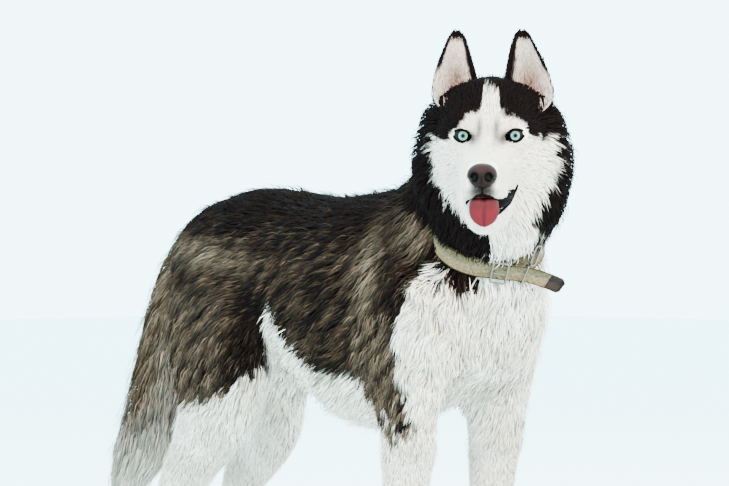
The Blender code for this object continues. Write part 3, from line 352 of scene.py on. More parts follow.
def merged(parts):
    """One list of points and one of faces from several."""
    points, faces, start = [], [], 0
    for part_points, part_faces in parts:
        points.append(np.asarray(part_points))
        faces += [tuple(i + start for i in f) for f in part_faces]
        start += len(part_points)
    return np.vstack(points), faces


print("tools for meshes ready")

# %% [markdown]
# ## Materials
# Every look is procedural. Fur, skin and eyes take their colour from an attribute of their own mesh; the
# rest use small noise at its real size on Object coordinates.

# %% Materials
def add(tree, kind, settings=None, links=None):
    """Adds a shader node, sets its properties and input values, and links other sockets into it."""
    node = tree.nodes.new(kind)
    for name, value in (settings or {}).items():
        if name in node.inputs:
            node.inputs[name].default_value = value
        else:
            setattr(node, name, value)
    for name, socket in (links or {}).items():
        tree.links.new(socket, node.inputs[name])
    return node


def look(name, roughness, specular, colour=None, mottle=None, bump=None, more=None):
    """A Principled material. Mottle is (size, second colour, share) and bump is (size, height)."""
    made = bpy.data.materials.new(name)
    made.use_nodes = True
    tree = made.node_tree
    shader = tree.nodes["Principled BSDF"]
    settings = {"Roughness": roughness, "Specular IOR Level": specular, **(more or {})}
    for key, value in settings.items():
        shader.inputs[key].default_value = value
    place = add(tree, "ShaderNodeTexCoord").outputs["Object"]
    if colour is None:
        source = add(tree, "ShaderNodeAttribute", {"attribute_name": "coat"})
        tree.links.new(source.outputs["Color"], shader.inputs["Base Color"])
    else:
        tone = hex_colour(colour) if "Metallic" in settings else seen_as(colour)
        shader.inputs["Base Color"].default_value = (*tone, 1.0)
    if mottle:
        size, second, share = mottle
        grain = {"Scale": 1.0 / size, "Detail": 5.0, "Roughness": 0.65}
        noise = add(tree, "ShaderNodeTexNoise", grain, {"Vector": place})
        limits = {"From Min": 0.5 - share / 2, "From Max": 0.5 + share / 2}
        ramp = add(tree, "ShaderNodeMapRange", limits, {"Value": noise.outputs["Fac"]})
        mix = add(tree, "ShaderNodeMix", {"data_type": "RGBA"})
        mix.inputs["A"].default_value = (*seen_as(colour), 1.0)
        mix.inputs["B"].default_value = (*seen_as(second), 1.0)
        tree.links.new(ramp.outputs["Result"], mix.inputs["Factor"])
        tree.links.new(mix.outputs["Result"], shader.inputs["Base Color"])
    if bump:
        size, height = bump
        noise = add(tree, "ShaderNodeTexNoise", {"Scale": 1.0 / size, "Detail": 4.0}, {"Vector": place})
        raised = {"Strength": 0.6, "Distance": height}
        normal = add(tree, "ShaderNodeBump", raised, {"Height": noise.outputs["Fac"]})
        tree.links.new(normal.outputs["Normal"], shader.inputs["Normal"])
    return made


SOFT_FLESH = {"Subsurface Weight": 0.12, "Subsurface Scale": 0.004}
LOOKS = {
    "fur": look("fur", 0.85, 0.02),
    "skin": look("skin_under_fur", 0.90, 0.03, bump=(0.003, 0.0008)),
    "lips": look("lips", 0.60, 0.01, "2a2121", bump=(0.0012, 0.0002)),
    "eye": look("eye", 0.50, 0.02, more={"Coat Weight": 0.10, "Coat Roughness": 0.03}),
    "nose": look("nose_leather", 0.45, 0.05, bump=(0.0011, 0.0005)),
    "tongue": look("tongue", 0.45, 0.10, bump=(0.0009, 0.0003), more=SOFT_FLESH),
    "claw": look("claw", 0.45, 0.20, "4b403a"),
    "felt": look("collar_felt", 0.95, 0.05, "594c38", (0.0030, "9c917c", 0.50), (0.0012, 0.0006)),
    "felt_edge": look("collar_edge", 0.90, 0.05, "4c4634", bump=(0.001, 0.0004)),
    "leather": look("dark_leather", 0.62, 0.12, "3a2b2b", (0.004, "4b3c3a", 0.4), (0.0008, 0.0003)),
    "nickel": look("nickel_wire", 0.20, 0.50, "605c57", more={"Metallic": 1.0}),
}
print(len(LOOKS), "materials")

# %% [markdown]
# ## The lie of the coat
# A table of stations over the body says, for the fur near each, which way it lies, how long and how wide a
# tuft is, and how deep the coat stands over the skin. Every other point takes a weighted mean of its
# nearest stations.

# %% Stations of the coat
# In millimetres: place (3 numbers), reach, way of the fur in hundredths (3 numbers), tuft length, coat
# depth and tuft width. Stations off the middle stand on both sides, but for the turned neck.
STATIONS = {
    "body": (
        (0, 325, 520, 50, 0, 60, -80, 40, 11, 4.2), (0, 270, 565, 60, 0, 90, -40, 36, 10, 4.2),
        (0, 160, 575, 70, 0, 100, 0, 32, 9, 4), (0, 40, 570, 70, 0, 100, 0, 32, 9, 4),
        (0, -80, 575, 70, 0, 100, -5, 36, 10, 4.2), (85, 260, 500, 60, 0, 75, -65, 36, 11, 4.2),
        (100, 150, 480, 70, 0, 90, -45, 34, 11, 4.2), (110, 40, 460, 70, 0, 85, -50, 34, 11, 4.2),
        (118, -50, 430, 70, 0, 80, -60, 34, 11, 4.2), (105, 40, 370, 60, 0, 85, -50, 34, 11, 4.2),
        (110, -50, 340, 60, 0, 75, -65, 34, 11, 4.2), (110, -120, 500, 60, 0, 55, -85, 34, 11, 4.2),
        (105, -150, 420, 60, 0, 30, -95, 32, 10, 4), (0, 100, 360, 60, 0, 100, 30, 30, 10, 4.2),
        (0, -40, 275, 70, 0, 100, -10, 34, 11, 4.2), (0, -285, 450, 60, 0, 5, -100, 40, 13, 4.4),
        (0, -255, 385, 60, 0, 25, -95, 40, 13, 4.4), (0, -190, 320, 60, 0, 65, -75, 36, 12, 4.4),
        (70, -245, 440, 50, 10, 15, -100, 38, 12, 4.4), (60, -215, 350, 50, 0, 30, -95, 34, 10, 4.2),
        (0, -100, 600, 50, 0, 85, -50, 42, 12, 4.4), (85, -290, 330, 30, 0, 20, -100, 30, 8, 4),
        (83, -150, 330, 50, 0, 15, -100, 22, 6, 3), (81, -120, 270, 30, 0, 40, -90, 24, 6, 3),
        (80, -150, 220, 40, 0, 10, -100, 14, 3.5, 2.4), (79, -148, 130, 40, 0, 5, -100, 11, 2.6, 2.2),
        (79, -165, 60, 30, 0, -20, -100, 9, 2.2, 2), (79, -200, 25, 30, 0, -80, -50, 7, 1.8, 1.8),
    ),
    "hind legs": (
        (110, 190, 420, 60, 0, 50, -85, 34, 10, 4.2), (105, 180, 340, 60, 0, 40, -90, 30, 9, 4),
        (80, 290, 420, 50, 0, 35, -95, 46, 13, 4.4), (80, 270, 330, 50, 0, 30, -95, 40, 11, 4.2),
        (60, 120, 360, 50, 0, 30, -95, 22, 6, 3.6), (81, 235, 245, 40, 0, 40, -90, 18, 5, 3),
        (81, 285, 170, 40, 0, 15, -100, 13, 3.4, 2.4), (81, 292, 100, 40, 0, -5, -100, 10, 2.5, 2.2),
        (81, 265, 50, 30, 0, -30, -95, 8, 2, 2), (81, 235, 25, 30, 0, -80, -50, 7, 1.8, 1.8),
    ),
    # The head's are in its own axes, as forward, left and up
    "head": (
        (95, 0, -22, 18, -100, 0, 0, 5, 1, 1.3), (60, 0, -10, 25, -100, 0, 10, 6.5, 1.2, 1.4),
        (80, 26, -40, 20, -95, 25, -15, 6.5, 1.3, 1.4), (45, 34, -35, 20, -90, 30, -20, 8, 2, 1.5),
        (95, 10, -60, 15, -50, 50, -70, 4.5, 1, 1.2), (15, 0, 6, 20, -80, 0, 60, 8, 1.8, 1.5),
        (-10, 30, 18, 15, -60, 30, 70, 8.5, 2, 1.5), (-5, 14, 0, 12, -70, 30, 60, 6, 1.4, 1.3),
        (5, 30, -14, 12, -90, 30, -30, 7, 1.6, 1.3), (-15, 48, 0, 14, -85, 40, -20, 10, 2.6, 1.6),
        (-30, 0, 62, 30, -95, 0, 30, 15, 5, 1.8), (-75, 0, 68, 35, -100, 0, -15, 22, 7, 2.4),
        (-115, 0, 40, 35, -85, 0, -55, 30, 8, 3.4), (-40, 60, 30, 13, -35, 50, 75, 19, 6.5, 2),
        (-38, 44, 50, 13, -40, 35, 80, 17, 6, 2), (-58, 70, 22, 18, -55, 45, -60, 20, 6.5, 2.4),
        (-5, 45, -40, 20, -85, 40, -30, 14, 4, 1.8), (-35, 70, -35, 22, -70, 50, -50, 24, 7, 2.4),
        (-65, 88, -30, 28, -60, 25, -75, 28, 8.5, 2.8), (-90, 80, 0, 28, -80, 10, -60, 28, 8, 3),
        (-50, 70, -85, 26, -55, 12, -88, 34, 10.5, 3), (-60, 30, -115, 28, -50, 0, -85, 34, 11, 3.6),
        (-20, 0, -112, 25, -80, 0, -60, 24, 7, 2.6), (30, 20, -110, 20, -90, 10, -40, 13, 3.4, 1.8),
        (75, 0, -108, 16, -85, 0, -50, 7.5, 1.6, 1.4), (30, 34, -75, 16, -90, 30, -30, 9, 2.2, 1.5),
    ),
    "neck": (
        (-30, -200, 645, 40, 10, 70, -70, 30, 7, 3.6), (-12, -150, 600, 40, 5, 80, -60, 32, 7, 3.8),
        (-90, -190, 560, 40, 0, 55, -85, 34, 9, 3.8), (65, -195, 570, 40, 10, 50, -85, 34, 9, 3.8),
        (-75, -260, 490, 30, -10, 20, -100, 32, 10, 4.2),
        (30, -285, 530, 30, 10, 10, -100, 32, 10, 4.2),
    ),
}
HIND_SET_BACK = 0.046
# The middle line of the tail and its radius
TAIL = metres((
    (0, 295, 528, 30), (-2, 336, 508, 32), (-6, 360, 472, 37), (-10, 371, 430, 42), (-14, 376, 385, 47),
    (-20, 387, 316, 50), (-28, 412, 243, 45), (-34, 438, 195, 34), (-37, 455, 162, 19),
    (-38, 464, 142, 6),
))


def station_table():
    """All stations as arrays: places, reaches, ways, and length, depth and width."""
    found = []
    for name, stations in STATIONS.items():
        across = 1 if name == "head" else 0
        for row in metres(stations):
            twice = row[across] > 0 and name != "neck"
            for side in (-1, 1) if twice else (1,):
                place, way = row[:3].copy(), row[4:7] * 10
                place[across] *= side
                way[across] *= side
                if name == "hind legs" and side > 0:
                    place[1] += HIND_SET_BACK
                if name == "head":
                    place, way = in_head(*place), way_in_head(*way)
                found.append((place, row[3], way, row[7:]))
    for i in range(1, len(TAIL)):
        radius = TAIL[i, 3]
        depth = radius * (0.45 if i > 1 else 0.3) * 0.62
        values = (min(0.050, 0.014 + 1.3 * radius), depth, 0.0036)
        found.append((TAIL[i, :3], 0.03, TAIL[i, :3] - TAIL[i - 1, :3], values))
    places, reaches, ways, values = (np.array(column, float) for column in zip(*found))
    return places, reaches, unit(ways), values


PLACES, REACHES, WAYS, VALUES = station_table()
BLOCK = 20000


def coat_at(points):
    """The way of the fur and its length, depth and width at points of the design."""
    ways, values = [], []
    for start in range(0, len(points), BLOCK):
        block = points[start : start + BLOCK]
        gaps = np.linalg.norm(block[:, None] - PLACES[None], axis=2) / REACHES
        weights = 1.0 / (gaps**5 + 1e-3)
        weights /= weights.sum(1, keepdims=True)
        ways.append(weights @ WAYS)
        values.append(weights @ VALUES)
    return np.vstack(ways), np.vstack(values)


print(len(PLACES), "stations")

# %% [markdown]
# ## Markings
# Black cap, saddle and ruff band, white mask, chest and legs, and brown banded flanks, with painted shade in
# the eye corners, along the brows and under the nose. One function gives the colour of the coat at any point,
# and both the skin and the tufts use it.

# %% Markings
WHITE, CREAM, BLACK, DARK_BROWN = (seen_as(text) for text in ("ece4dd", "dbd1c8", "332a29", "342c2a"))
BROWN, TAN, GREY = (seen_as(text) for text in ("5e5046", "958577", "8a8481"))

# The lower edge of the dark coat on the body's side, by y, and of the black cap over the face, by distance
# from the middle. The white of the face ends to the right and to the left by height.
DARK_EDGE = metres((
    (-300, -215, -185, -165, -135, -12, 42, 75, 88, 104, 112, 170, 270, 340),
    (560, 540, 470, 405, 335, 340, 376, 408, 425, 400, 345, 302, 284, 270),
))
CAP_EDGE = metres((
    (0, 8.5, 12.5, 20, 31, 43, 50, 56, 70, 90, 120),
    (62, 58, 32, 25, 21.5, 13, 2, -5.5, -7.5, -6, -6),
))
MASK_HEIGHTS, MASK_RIGHT, MASK_LEFT = metres((
    (-128, -118, -111, -94.4, -77.5, -53, -29, -9.7),
    (0, 12, 27.2, 46.6, 61, 70.8, 75.7, 75.7),
    (52, 50, 50.2, 60, 76, 85, 85.5, 86.6),
))


def noises(points):
    """Frayed edges, streaks along the flank, and large patches."""
    x, y, z = points.T
    fray = ripple(points, 0.020, 1) * 0.006 + ripple(points, 0.007, 2) * 0.003
    streaks = 0.7 * ripple(np.column_stack([x, (y + z) * 0.9, (z - y) * 0.35]), 0.026, 3)
    streaks = streaks + 0.5 * ripple(np.column_stack([x, y * 0.8, z]), 0.017, 7)
    return fray, streaks, ripple(points, 0.055, 4)


def body_coat(points, normals):
    """Colours of the body, and how much of each is banded brown: dark above an edge, and white below it."""
    x, y, z = points.T
    fray, streaks, patches = noises(points)
    side = np.where(x > 0, 1.0, -1.0)
    flank = np.abs(x) > 0.05
    back = np.where((x > 0) & (y > 0.06), 0.036, 0.0)
    edge = np.interp(y - back, *DARK_EDGE)
    dark = smooth_step(z + fray, edge - 0.007, edge + 0.007)
    inside = smooth_step(-normals[:, 0] * side, 0.05, 0.45) * (z < 0.42)
    under = smooth_step(-normals[:, 2], 0.30, 0.65) * (z < 0.45)
    dark *= (1 - inside) * (1 - under)

    # A dark stripe runs down the outside of the foreleg
    stripe_low = np.interp(z, (0.26, 0.285, 0.36, 0.41), (-0.185, -0.178, -0.165, -0.160))
    stripe = smooth_step(normals[:, 0] * side, 0.05, 0.40) * (z < 0.42)
    stripe *= smooth_step(z + 3 * fray, 0.262, 0.285)
    stripe *= smooth_step(y + fray, stripe_low - 0.008, stripe_low + 0.004) * (y < -0.08) * (np.abs(x) > 0.06)
    dark = np.maximum(dark, stripe)

    # Black on the back, the shoulder, the front of the thigh and the low flank
    saddle = smooth_step(z + 2 * fray + 0.02 * patches, 0.505, 0.538) * (y > -0.16)
    saddle = np.maximum(saddle, smooth_step(z + 2 * fray, 0.575, 0.600) * (y <= -0.13))
    shoulder_dark = spot(y, z, (-0.158, 0.463), (0.022, 0.050)) * flank
    from_thigh = y - back
    front_edge = smooth_step(from_thigh, 0.095, 0.110) * smooth_step(-from_thigh, -0.165, -0.135) * (z < 0.45)
    low_flank = smooth_step(-(z - edge), -0.035, -0.005) * (y < 0.09) * (y > -0.13)
    black = 0.90 * saddle + 0.90 * front_edge + 0.70 * low_flank + 0.88 * shoulder_dark
    brown = mixed(DARK_BROWN, BROWN, np.clip(0.30 + 0.75 * streaks + 0.35 * patches, 0, 1))
    brown = mixed(brown, BLACK, np.clip(black, 0, 0.95))

    # Tan on the shoulder, the rump, the neck, the thigh and the stripe
    shoulder = spot(y, z, (-0.103, 0.468), (0.017, 0.050)) * flank
    rump = spot(z - 0.12 * (y - 0.2), y, (0.492, 0.23), (0.016, 0.085)) * flank
    neck_tan = spot(y, z, (-0.165, 0.535), (0.028, 0.032)) * flank
    light = np.clip(0.85 * shoulder + 0.60 * rump + 0.65 * neck_tan, 0, 0.9)
    light = light * np.clip(0.8 + 0.35 * streaks, 0, 1.2)
    thigh = smooth_step(from_thigh, 0.150, 0.185) * smooth_step(-z, -0.47, -0.42)
    brown = mixed(brown, TAN, np.clip(light, 0, 0.9))
    brown = mixed(brown, TAN * 0.75, 0.32 * thigh * np.clip(0.7 + 0.5 * streaks, 0, 1))
    brown = mixed(brown, TAN * 0.7, 0.55 * stripe * np.clip(0.6 + 0.6 * streaks, 0, 1))

    # The dark patch that hangs from the collar on the right of the chest
    offset = np.column_stack([y, z]) - np.array((-0.212, 0.485))
    along = np.maximum(np.abs(offset @ np.array((-0.66, -0.75)) - 0.006) - 0.026, 0)
    patch = smooth_step(0.020 + fray - np.hypot(along, offset @ np.array((0.75, -0.66))), 0.0, 0.006)
    patch *= (x < -0.03) * (x > -0.13)
    dark = np.maximum(dark, patch)
    brown = mixed(brown, BLACK, 0.9 * patch)
    belly = mixed(WHITE, CREAM, np.clip(0.60 + 0.5 * patches, 0, 1) * smooth_step(-z, -0.52, -0.40))
    banded = dark * (1 - np.clip(saddle + patch, 0, 1)) * (1 - 0.8 * np.clip(light, 0, 1))
    return mixed(belly, brown, dark), banded


def head_coat(points, normals):
    """Colours of the head: a black cap with a blaze, and a black band round the white of the face."""
    forward, left, up = head_place(points)
    fray, _, patches = noises(points)
    cap_edge = np.interp(np.abs(left - 0.0025), *CAP_EDGE)
    cap = smooth_step(up + 0.6 * fray, cap_edge - 0.0035, cap_edge + 0.0035)
    left_reach, right_reach = (np.interp(up, MASK_HEIGHTS, edge) for edge in (MASK_LEFT, MASK_RIGHT))
    reach = np.where(left > 0, left_reach, right_reach)
    band = smooth_step(np.abs(left) + 0.8 * fray, reach - 0.004, reach + 0.004)
    low_right = smooth_step(-left - 0.8 * fray, 0.0, 0.006) * smooth_step(-up, 0.118, 0.126)
    behind = smooth_step(-forward + fray, 0.070, 0.082) * smooth_step(up, -0.12, -0.09)
    turned = smooth_step(-(normals @ FORWARD) + 4 * fray, -0.16, 0.08) * smooth_step(-forward, 0.030, 0.050)
    turned *= smooth_step(up, -0.115, -0.085)
    black = np.clip(np.maximum.reduce([cap, band, low_right, behind, turned]), 0, 1)
    face = mixed(WHITE, CREAM, np.clip(0.10 + 0.25 * patches, 0, 1))
    # Greyer between the nose and the upper lip: grey-brown fur there, and painted shade under the nose
    under_nose_grey_and_shade = spot(forward, up, (0.100, -0.0565), (0.020, 0.0075)) * np.exp(-((left / 0.0150) ** 4))
    face = shaded(face, GREY * 0.16, 0.92 * under_nose_grey_and_shade)
    # Painted shade in the inner corners of the eyes and along the brows
    for eye_side in (-1, 1):
        corner = spot(left, up, (eye_side * 0.0195, -0.001), (0.006, 0.006))
        brow_shade = spot(left, up, (eye_side * 0.0105, 0.010), (0.0035, 0.012))
        eye_shade = np.clip(0.85 * corner + 0.50 * brow_shade, 0, 0.9) * (forward > -0.03)
        face = shaded(face, GREY * 0.30, eye_shade)
    return mixed(face, BLACK, black)


def tail_coat(points, normals):
    """Colours of the tail, grizzled above and pale below and at its tip, and how much is banded."""
    fray, streaks, _ = noises(points)
    below = smooth_step(-(normals[:, 1] * 0.8 + normals[:, 2] * 0.6), 0.15, 0.7)
    grizzle = mixed(BROWN * 0.8, TAN * 0.8, np.clip(0.30 + 0.40 * streaks, 0, 1))
    pale = np.clip(below * 0.12 + smooth_step(-points[:, 2] + 2 * fray, -0.29, -0.15) * 0.60, 0, 0.9)
    return mixed(grizzle, CREAM, pale), 1 - pale


def markings(points, normals, kinds):
    """Colour and brown share of the coat. Kinds says for each point 0 body, 1 head, 2 tail."""
    colours, banded = np.zeros((len(points), 3)), np.zeros(len(points))
    body, head, tail = kinds == 0, kinds == 1, kinds == 2
    colours[body], banded[body] = body_coat(points[body], normals[body])
    colours[head] = head_coat(points[head], normals[head])
    colours[tail], banded[tail] = tail_coat(points[tail], normals[tail])
    return colours, banded


def kind_of(points):
    """0 for the body, 1 for the head with the fur above the collar, 2 for the tail."""
    lift = (points - COLLAR_CENTRE) @ COLLAR_NORMAL
    is_head = (lift > 0.010) & (head_place(points)[0] > -0.122)
    rows = smooth_rows(TAIL, 4)[5:]
    gaps = np.linalg.norm(points[:, None] - rows[None, :, :3], axis=2)
    is_tail = (gaps < rows[None, :, 3] * 1.25).any(1)
    return np.where(is_tail, 2, np.where(is_head, 1, 0))


print("markings ready")

# %% [markdown]
# ## The skin
# The flesh solids are merged, closed over their cuts by a voxel remesh, and smoothed, most where locks
# stand on them. The skin then moves in by the depth of the coat. Lids are cut open over the eyes.

# %% Skin
SIDES = ((-1, "right"), (1, "left"))
LIMBS = ("foreleg", "forepaw", "thigh", "shank", "hindpaw")
FLESH = ["torso", "head", "neck", "lower_jaw", "tail"]
FLESH += [f"{part}_{word}" for _, word in SIDES for part in LIMBS]
SKIN_VOXEL = 0.0029
# Balls as forward, left, up and radius: they fill the temples under the ears, and the lips that hang over
# the mouth on both sides
TEMPLES = metres([
    (forward, side * left, up, size)
    for side in (-1, 1)
    for forward, left, up, size in ((-54, 50, 32, 21), (-52, 40, 46, 16))
])
FLEWS = metres((
    (92, 18.5, -62.5, 5.5), (85, 23.5, -63, 5.5), (40, -30, -64, 7.5), (50, -27, -68, 8.5),
    (61, -24.5, -71, 8.5), (72, -22, -72.5, 8),
))
# The full ruff under its fur, as rows of a tube on each side: forward, left, up and radius
RUFF = (
    (
        (-58, -60, 34, 18), (-62, -70, 8, 23), (-64, -77.5, -25, 24), (-64, -79, -55, 24),
        (-62, -71, -79, 24), (-58, -54, -102, 22), (-50, -25, -116, 16),
    ),
    (
        (-58, 56, 34, 18), (-62, 70, 8, 23), (-64, 78, -22, 24), (-64, 79, -50, 24),
        (-64, 74.5, -77, 23), (-60, 66, -102, 21), (-56, 56, -122, 16),
    ),
)


def vertex_values(obj, key):
    """A value of three numbers for each vertex of an object."""
    found = np.zeros(len(obj.data.vertices) * 3, np.float32)
    obj.data.vertices.foreach_get(key, found)
    return found.reshape(-1, 3).astype(float)


def points_of(obj):
    """The object's vertices as points of the design."""
    return vertex_values(obj, "co") - SHIFT


def set_points(obj, points):
    obj.data.vertices.foreach_set("co", (points + SHIFT).astype(np.float32).ravel())
    obj.data.update()


def triangles_of(obj):
    obj.data.calc_loop_triangles()
    found = np.zeros(len(obj.data.loop_triangles) * 3, np.int32)
    obj.data.loop_triangles.foreach_get("vertices", found)
    return found.reshape(-1, 3)


def scatter(draw, points, triangles, density, count):
    """Random points over triangles, as many on each as its area times its density asks for."""
    a, b, c = (points[triangles[:, k]] for k in range(3))
    share = np.linalg.norm(np.cross(b - a, c - a), axis=1) / 2 * density
    chosen = draw.choice(len(triangles), count, p=share / share.sum())
    u, v = draw.random(count), draw.random(count)
    over = u + v > 1
    u[over], v[over] = 1 - u[over], 1 - v[over]
    return a[chosen] + (b - a)[chosen] * u[:, None] + (c - a)[chosen] * v[:, None], chosen


def soften(obj, weights, rounds):
    """Moves each point toward the mean of its neighbours, by its weight, round after round."""
    edges = np.zeros(len(obj.data.edges) * 2, np.int64)
    obj.data.edges.foreach_get("vertices", edges)
    edges = edges.reshape(-1, 2)
    points = vertex_values(obj, "co")
    moving = weights > 0.01
    edges = edges[moving[edges].any(1)]
    near = np.unique(edges)
    order = np.zeros(len(points), np.int64)
    order[near] = np.arange(len(near))
    first, second = order[edges].T
    part, share, size = points[near], (weights * moving)[near, None], len(near)
    degree = np.maximum(np.bincount(first, minlength=size) + np.bincount(second, minlength=size), 1)[:, None]
    for _ in range(rounds):
        sums = [
            np.bincount(first, part[second, k], size) + np.bincount(second, part[first, k], size)
            for k in range(3)
        ]
        part += (np.stack(sums, axis=1) / degree - part) * share
    points[near] = part
    set_points(obj, points - SHIFT)


def with_fillers(obj, balls, cores):
    """Adds closed balls and closed tubes to a mesh, ready for the remesh that makes them one."""
    mesh = bmesh.new()
    mesh.from_mesh(obj.data)
    for *ball_place, ball_size in balls:
        place = Matrix.Translation(Vector(in_head(*ball_place) + SHIFT))
        bmesh.ops.create_icosphere(mesh, subdivisions=3, radius=ball_size, matrix=place)
    for fill_points, fill_faces in cores:
        corners = [mesh.verts.new(tuple(point + SHIFT)) for point in fill_points]
        for face in fill_faces:
            mesh.faces.new([corners[i] for i in face])
    mesh.to_mesh(obj.data)
    mesh.free()


def one_surface(obj):
    step = obj.modifiers.new("one_surface", "REMESH")
    step.mode = "VOXEL"
    step.voxel_size = SKIN_VOXEL
    applied(obj)


def envelope(node, middle, axis, first, shrink=None, rows=20, spokes=40, samples=60000):
    """A smooth closed surface round a node, through the tips of its locks, measured from an axis."""
    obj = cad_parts[node]
    places = points_of(obj)
    a, b, c = (places[triangles_of(obj)[:, k]] for k in range(3))
    area = np.linalg.norm(np.cross(b - a, c - a), axis=1)
    draw = np.random.default_rng(SEED)
    chosen = draw.choice(len(area), samples, p=area / area.sum())
    u, v = draw.random((2, samples, 1))
    u, v = np.where(u + v > 1, 1 - u, u), np.where(u + v > 1, 1 - v, v)
    spots = a[chosen] + (b - a)[chosen] * u + (c - a)[chosen] * v - middle
    first = unit(first - axis * (first @ axis))
    second = np.cross(axis, first)
    along = spots @ axis
    turn = np.arctan2(spots @ second, spots @ first)
    low, high = along.min(), along.max()
    i = np.minimum(((along - low) / (high - low) * rows).astype(int), rows - 1)
    j = ((turn + math.pi) / (2 * math.pi) * spokes).astype(int) % spokes
    grid = np.zeros((rows, spokes))
    np.maximum.at(grid, (i, j), np.hypot(spots @ first, spots @ second))
    for _ in range(8):
        near = (np.roll(grid, 1, 1) + np.roll(grid, -1, 1)) / 2
        grid = np.where(grid == 0, near, grid)
    for _ in range(4):
        grid = 0.5 * grid + 0.25 * (np.roll(grid, 1, 1) + np.roll(grid, -1, 1))
        tall = np.vstack([grid[:1], grid, grid[-1:]])
        grid = 0.5 * grid + 0.25 * (tall[:-2] + tall[2:])
    points = []
    for k in range(rows):
        for m in range(spokes):
            t = (m + 0.5) / spokes * 2 * math.pi - math.pi
            out = first * math.cos(t) + second * math.sin(t)
            size = grid[k, m] * 0.95 * (shrink(out) if shrink else 1.0)
            points.append(middle + axis * (low + (k + 0.5) / rows * (high - low)) + out * size)
    return np.array(points), capped_faces(rows, spokes)


def nape_only(out):
    """1 at the nape and less round the throat, where the envelope must stay inside the neck."""
    nape = BUCKLE_WAY * math.cos(NAPE_TURN) + COLLAR_LEFT * math.sin(NAPE_TURN)
    return 1.0 - 0.22 * (1 - smooth_step(float(out @ nape), 0.20, 0.55))


def on_face(points):
    """1 on the face and 0 behind it."""
    return smooth_step(head_place(points)[0], -0.045, -0.020)


def locked(points):
    """How much a point of the skin lies where locks stand on the solids."""
    y, z = points[:, 1], points[:, 2]
    on_body = kind_of(points) == 0
    above_collar = round_collar(points)[0] > -0.020
    mane = np.maximum(above_collar, smooth_step(z, 0.54, 0.57) * smooth_step(-y, 0.07, 0.11))
    ruff = mane * smooth_step(-head_place(points)[0], 0.035, 0.060)
    bib = smooth_step(-y, 0.15, 0.20) * smooth_step(z, 0.24, 0.29) * on_body
    breeches = smooth_step(y, 0.20, 0.26) * smooth_step(z, 0.24, 0.30) * on_body
    return np.clip(ruff + bib + breeches, 0, 1)


joined = bmesh.new()
for node in [node for node in FLESH if node != "tail"] + ["eye_right", "eye_left"]:
    joined.from_mesh(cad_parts[node].data)
bmesh.ops.remove_doubles(joined, verts=joined.verts, dist=1e-6)
skin = linked("skin", bpy.data.meshes.new("skin"))
joined.to_mesh(skin.data)
joined.free()
with_fillers(skin, FLEWS, [])
one_surface(skin)
face = on_face(points_of(skin))
soften(skin, 0.5 * (1 - 0.55 * face), 12)
soften(skin, (1 - face) * 0.5, 10)
soften(skin, 0.5 * locked(points_of(skin)), 110)

tail_rows = smooth_rows(TAIL, 3)
cores = [tube(tail_rows[:, :3], tail_rows[:, 3] * 0.98, 24)]
cores += [head_tube(rows, 3, 20) for rows in RUFF]
cores.append(envelope("neck", COLLAR_CENTRE, COLLAR_NORMAL, BUCKLE_WAY, nape_only))
for side, word in SIDES:
    middle = np.array((side * 0.081, 0.19 + (side > 0) * HIND_SET_BACK, 0.40))
    cores.append(envelope(f"thigh_{word}", middle, np.array((0.0, 0.0, 1.0)), np.array((1.0, 0.0, 0.0))))
with_fillers(skin, TEMPLES, cores)
one_surface(skin)
face = on_face(points_of(skin))
soften(skin, 0.5 * (1 - 0.55 * face), 6)
soften(skin, (1 - face) * 0.5, 14)
depth_here = coat_at(points_of(skin))[1][:, 1:2]
set_points(skin, points_of(skin) - vertex_values(skin, "normal") * depth_here)
soften(skin, (1 - face) * 0.5, 6)
behind_face = np.where(head_place(points_of(skin))[0] < -0.055)[0]
group = skin.vertex_groups.new(name="body")
group.add(behind_face.tolist(), 1.0, "REPLACE")
step = skin.modifiers.new("thin", "DECIMATE")
step.ratio = 0.36
step.vertex_group = "body"
step.vertex_group_factor = 1.0
applied(skin)
skin.vertex_groups.clear()
print("skin", len(skin.data.polygons), "faces")

# %% [markdown]
# ## Eyes
# Each eye is a ball with a pale blue-green iris, cut into the skin behind black rims that open as an
# almond.

# %% Eyes and lids
EYE_LOOK_OUT = math.radians(7.0)
EYE_SLANT = math.radians(14.0)
LID_OPENING = (0.0245, 0.0128)
PUPIL, IRIS, RING = 0.0024, 0.0054, 0.0073
EYE_RINGS = (
    0.0002, 0.0012, PUPIL - 0.0001, PUPIL + 0.0001, 0.0032, 0.0040, 0.0048, IRIS - 0.0002, IRIS + 0.0002,
    0.0066, RING - 0.0003, RING + 0.0002, 0.0085, 0.0100, 0.0113,
)
BACK_RINGS = (0.005, 0.010)
EYE_SPOKES = 64
PUPIL_TONE, INNER_TONE, IRIS_TONE, RING_TONE, EYE_WHITE = (
    seen_as(text) for text in ("08080a", "64837f", "86a9a1", "0d1215", "140f0f")
)


def eye_place(side):
    """The middle of an eyeball and its own axes: to its left, forward and up."""
    centre = in_head(-EYE_SET_BACK, side * EYE_SPACING / 2, 0.0)
    c, s = math.cos(side * EYE_LOOK_OUT), math.sin(side * EYE_LOOK_OUT)
    out = FORWARD * c + LEFT * s
    across = LEFT * c - FORWARD * s
    c, s = math.cos(side * EYE_SLANT), math.sin(side * EYE_SLANT)
    return centre, across * c + UPWARD * s, out, UPWARD * c - across * s


def eye_tone(radius, shine, height):
    """The colour of the eye at a distance from the middle of the pupil, with the shade of the upper lid."""
    if radius < PUPIL:
        return PUPIL_TONE
    if radius < IRIS:
        share = (radius - PUPIL) / (IRIS - PUPIL)
        tone = mixed(INNER_TONE, IRIS_TONE, share) * (0.86 + 0.26 * shine * (0.4 + share * 0.6))
        return tone * (1 - 0.55 * smooth_step(height * radius / IRIS, 0.25, 0.85))
    return RING_TONE if radius < RING else EYE_WHITE


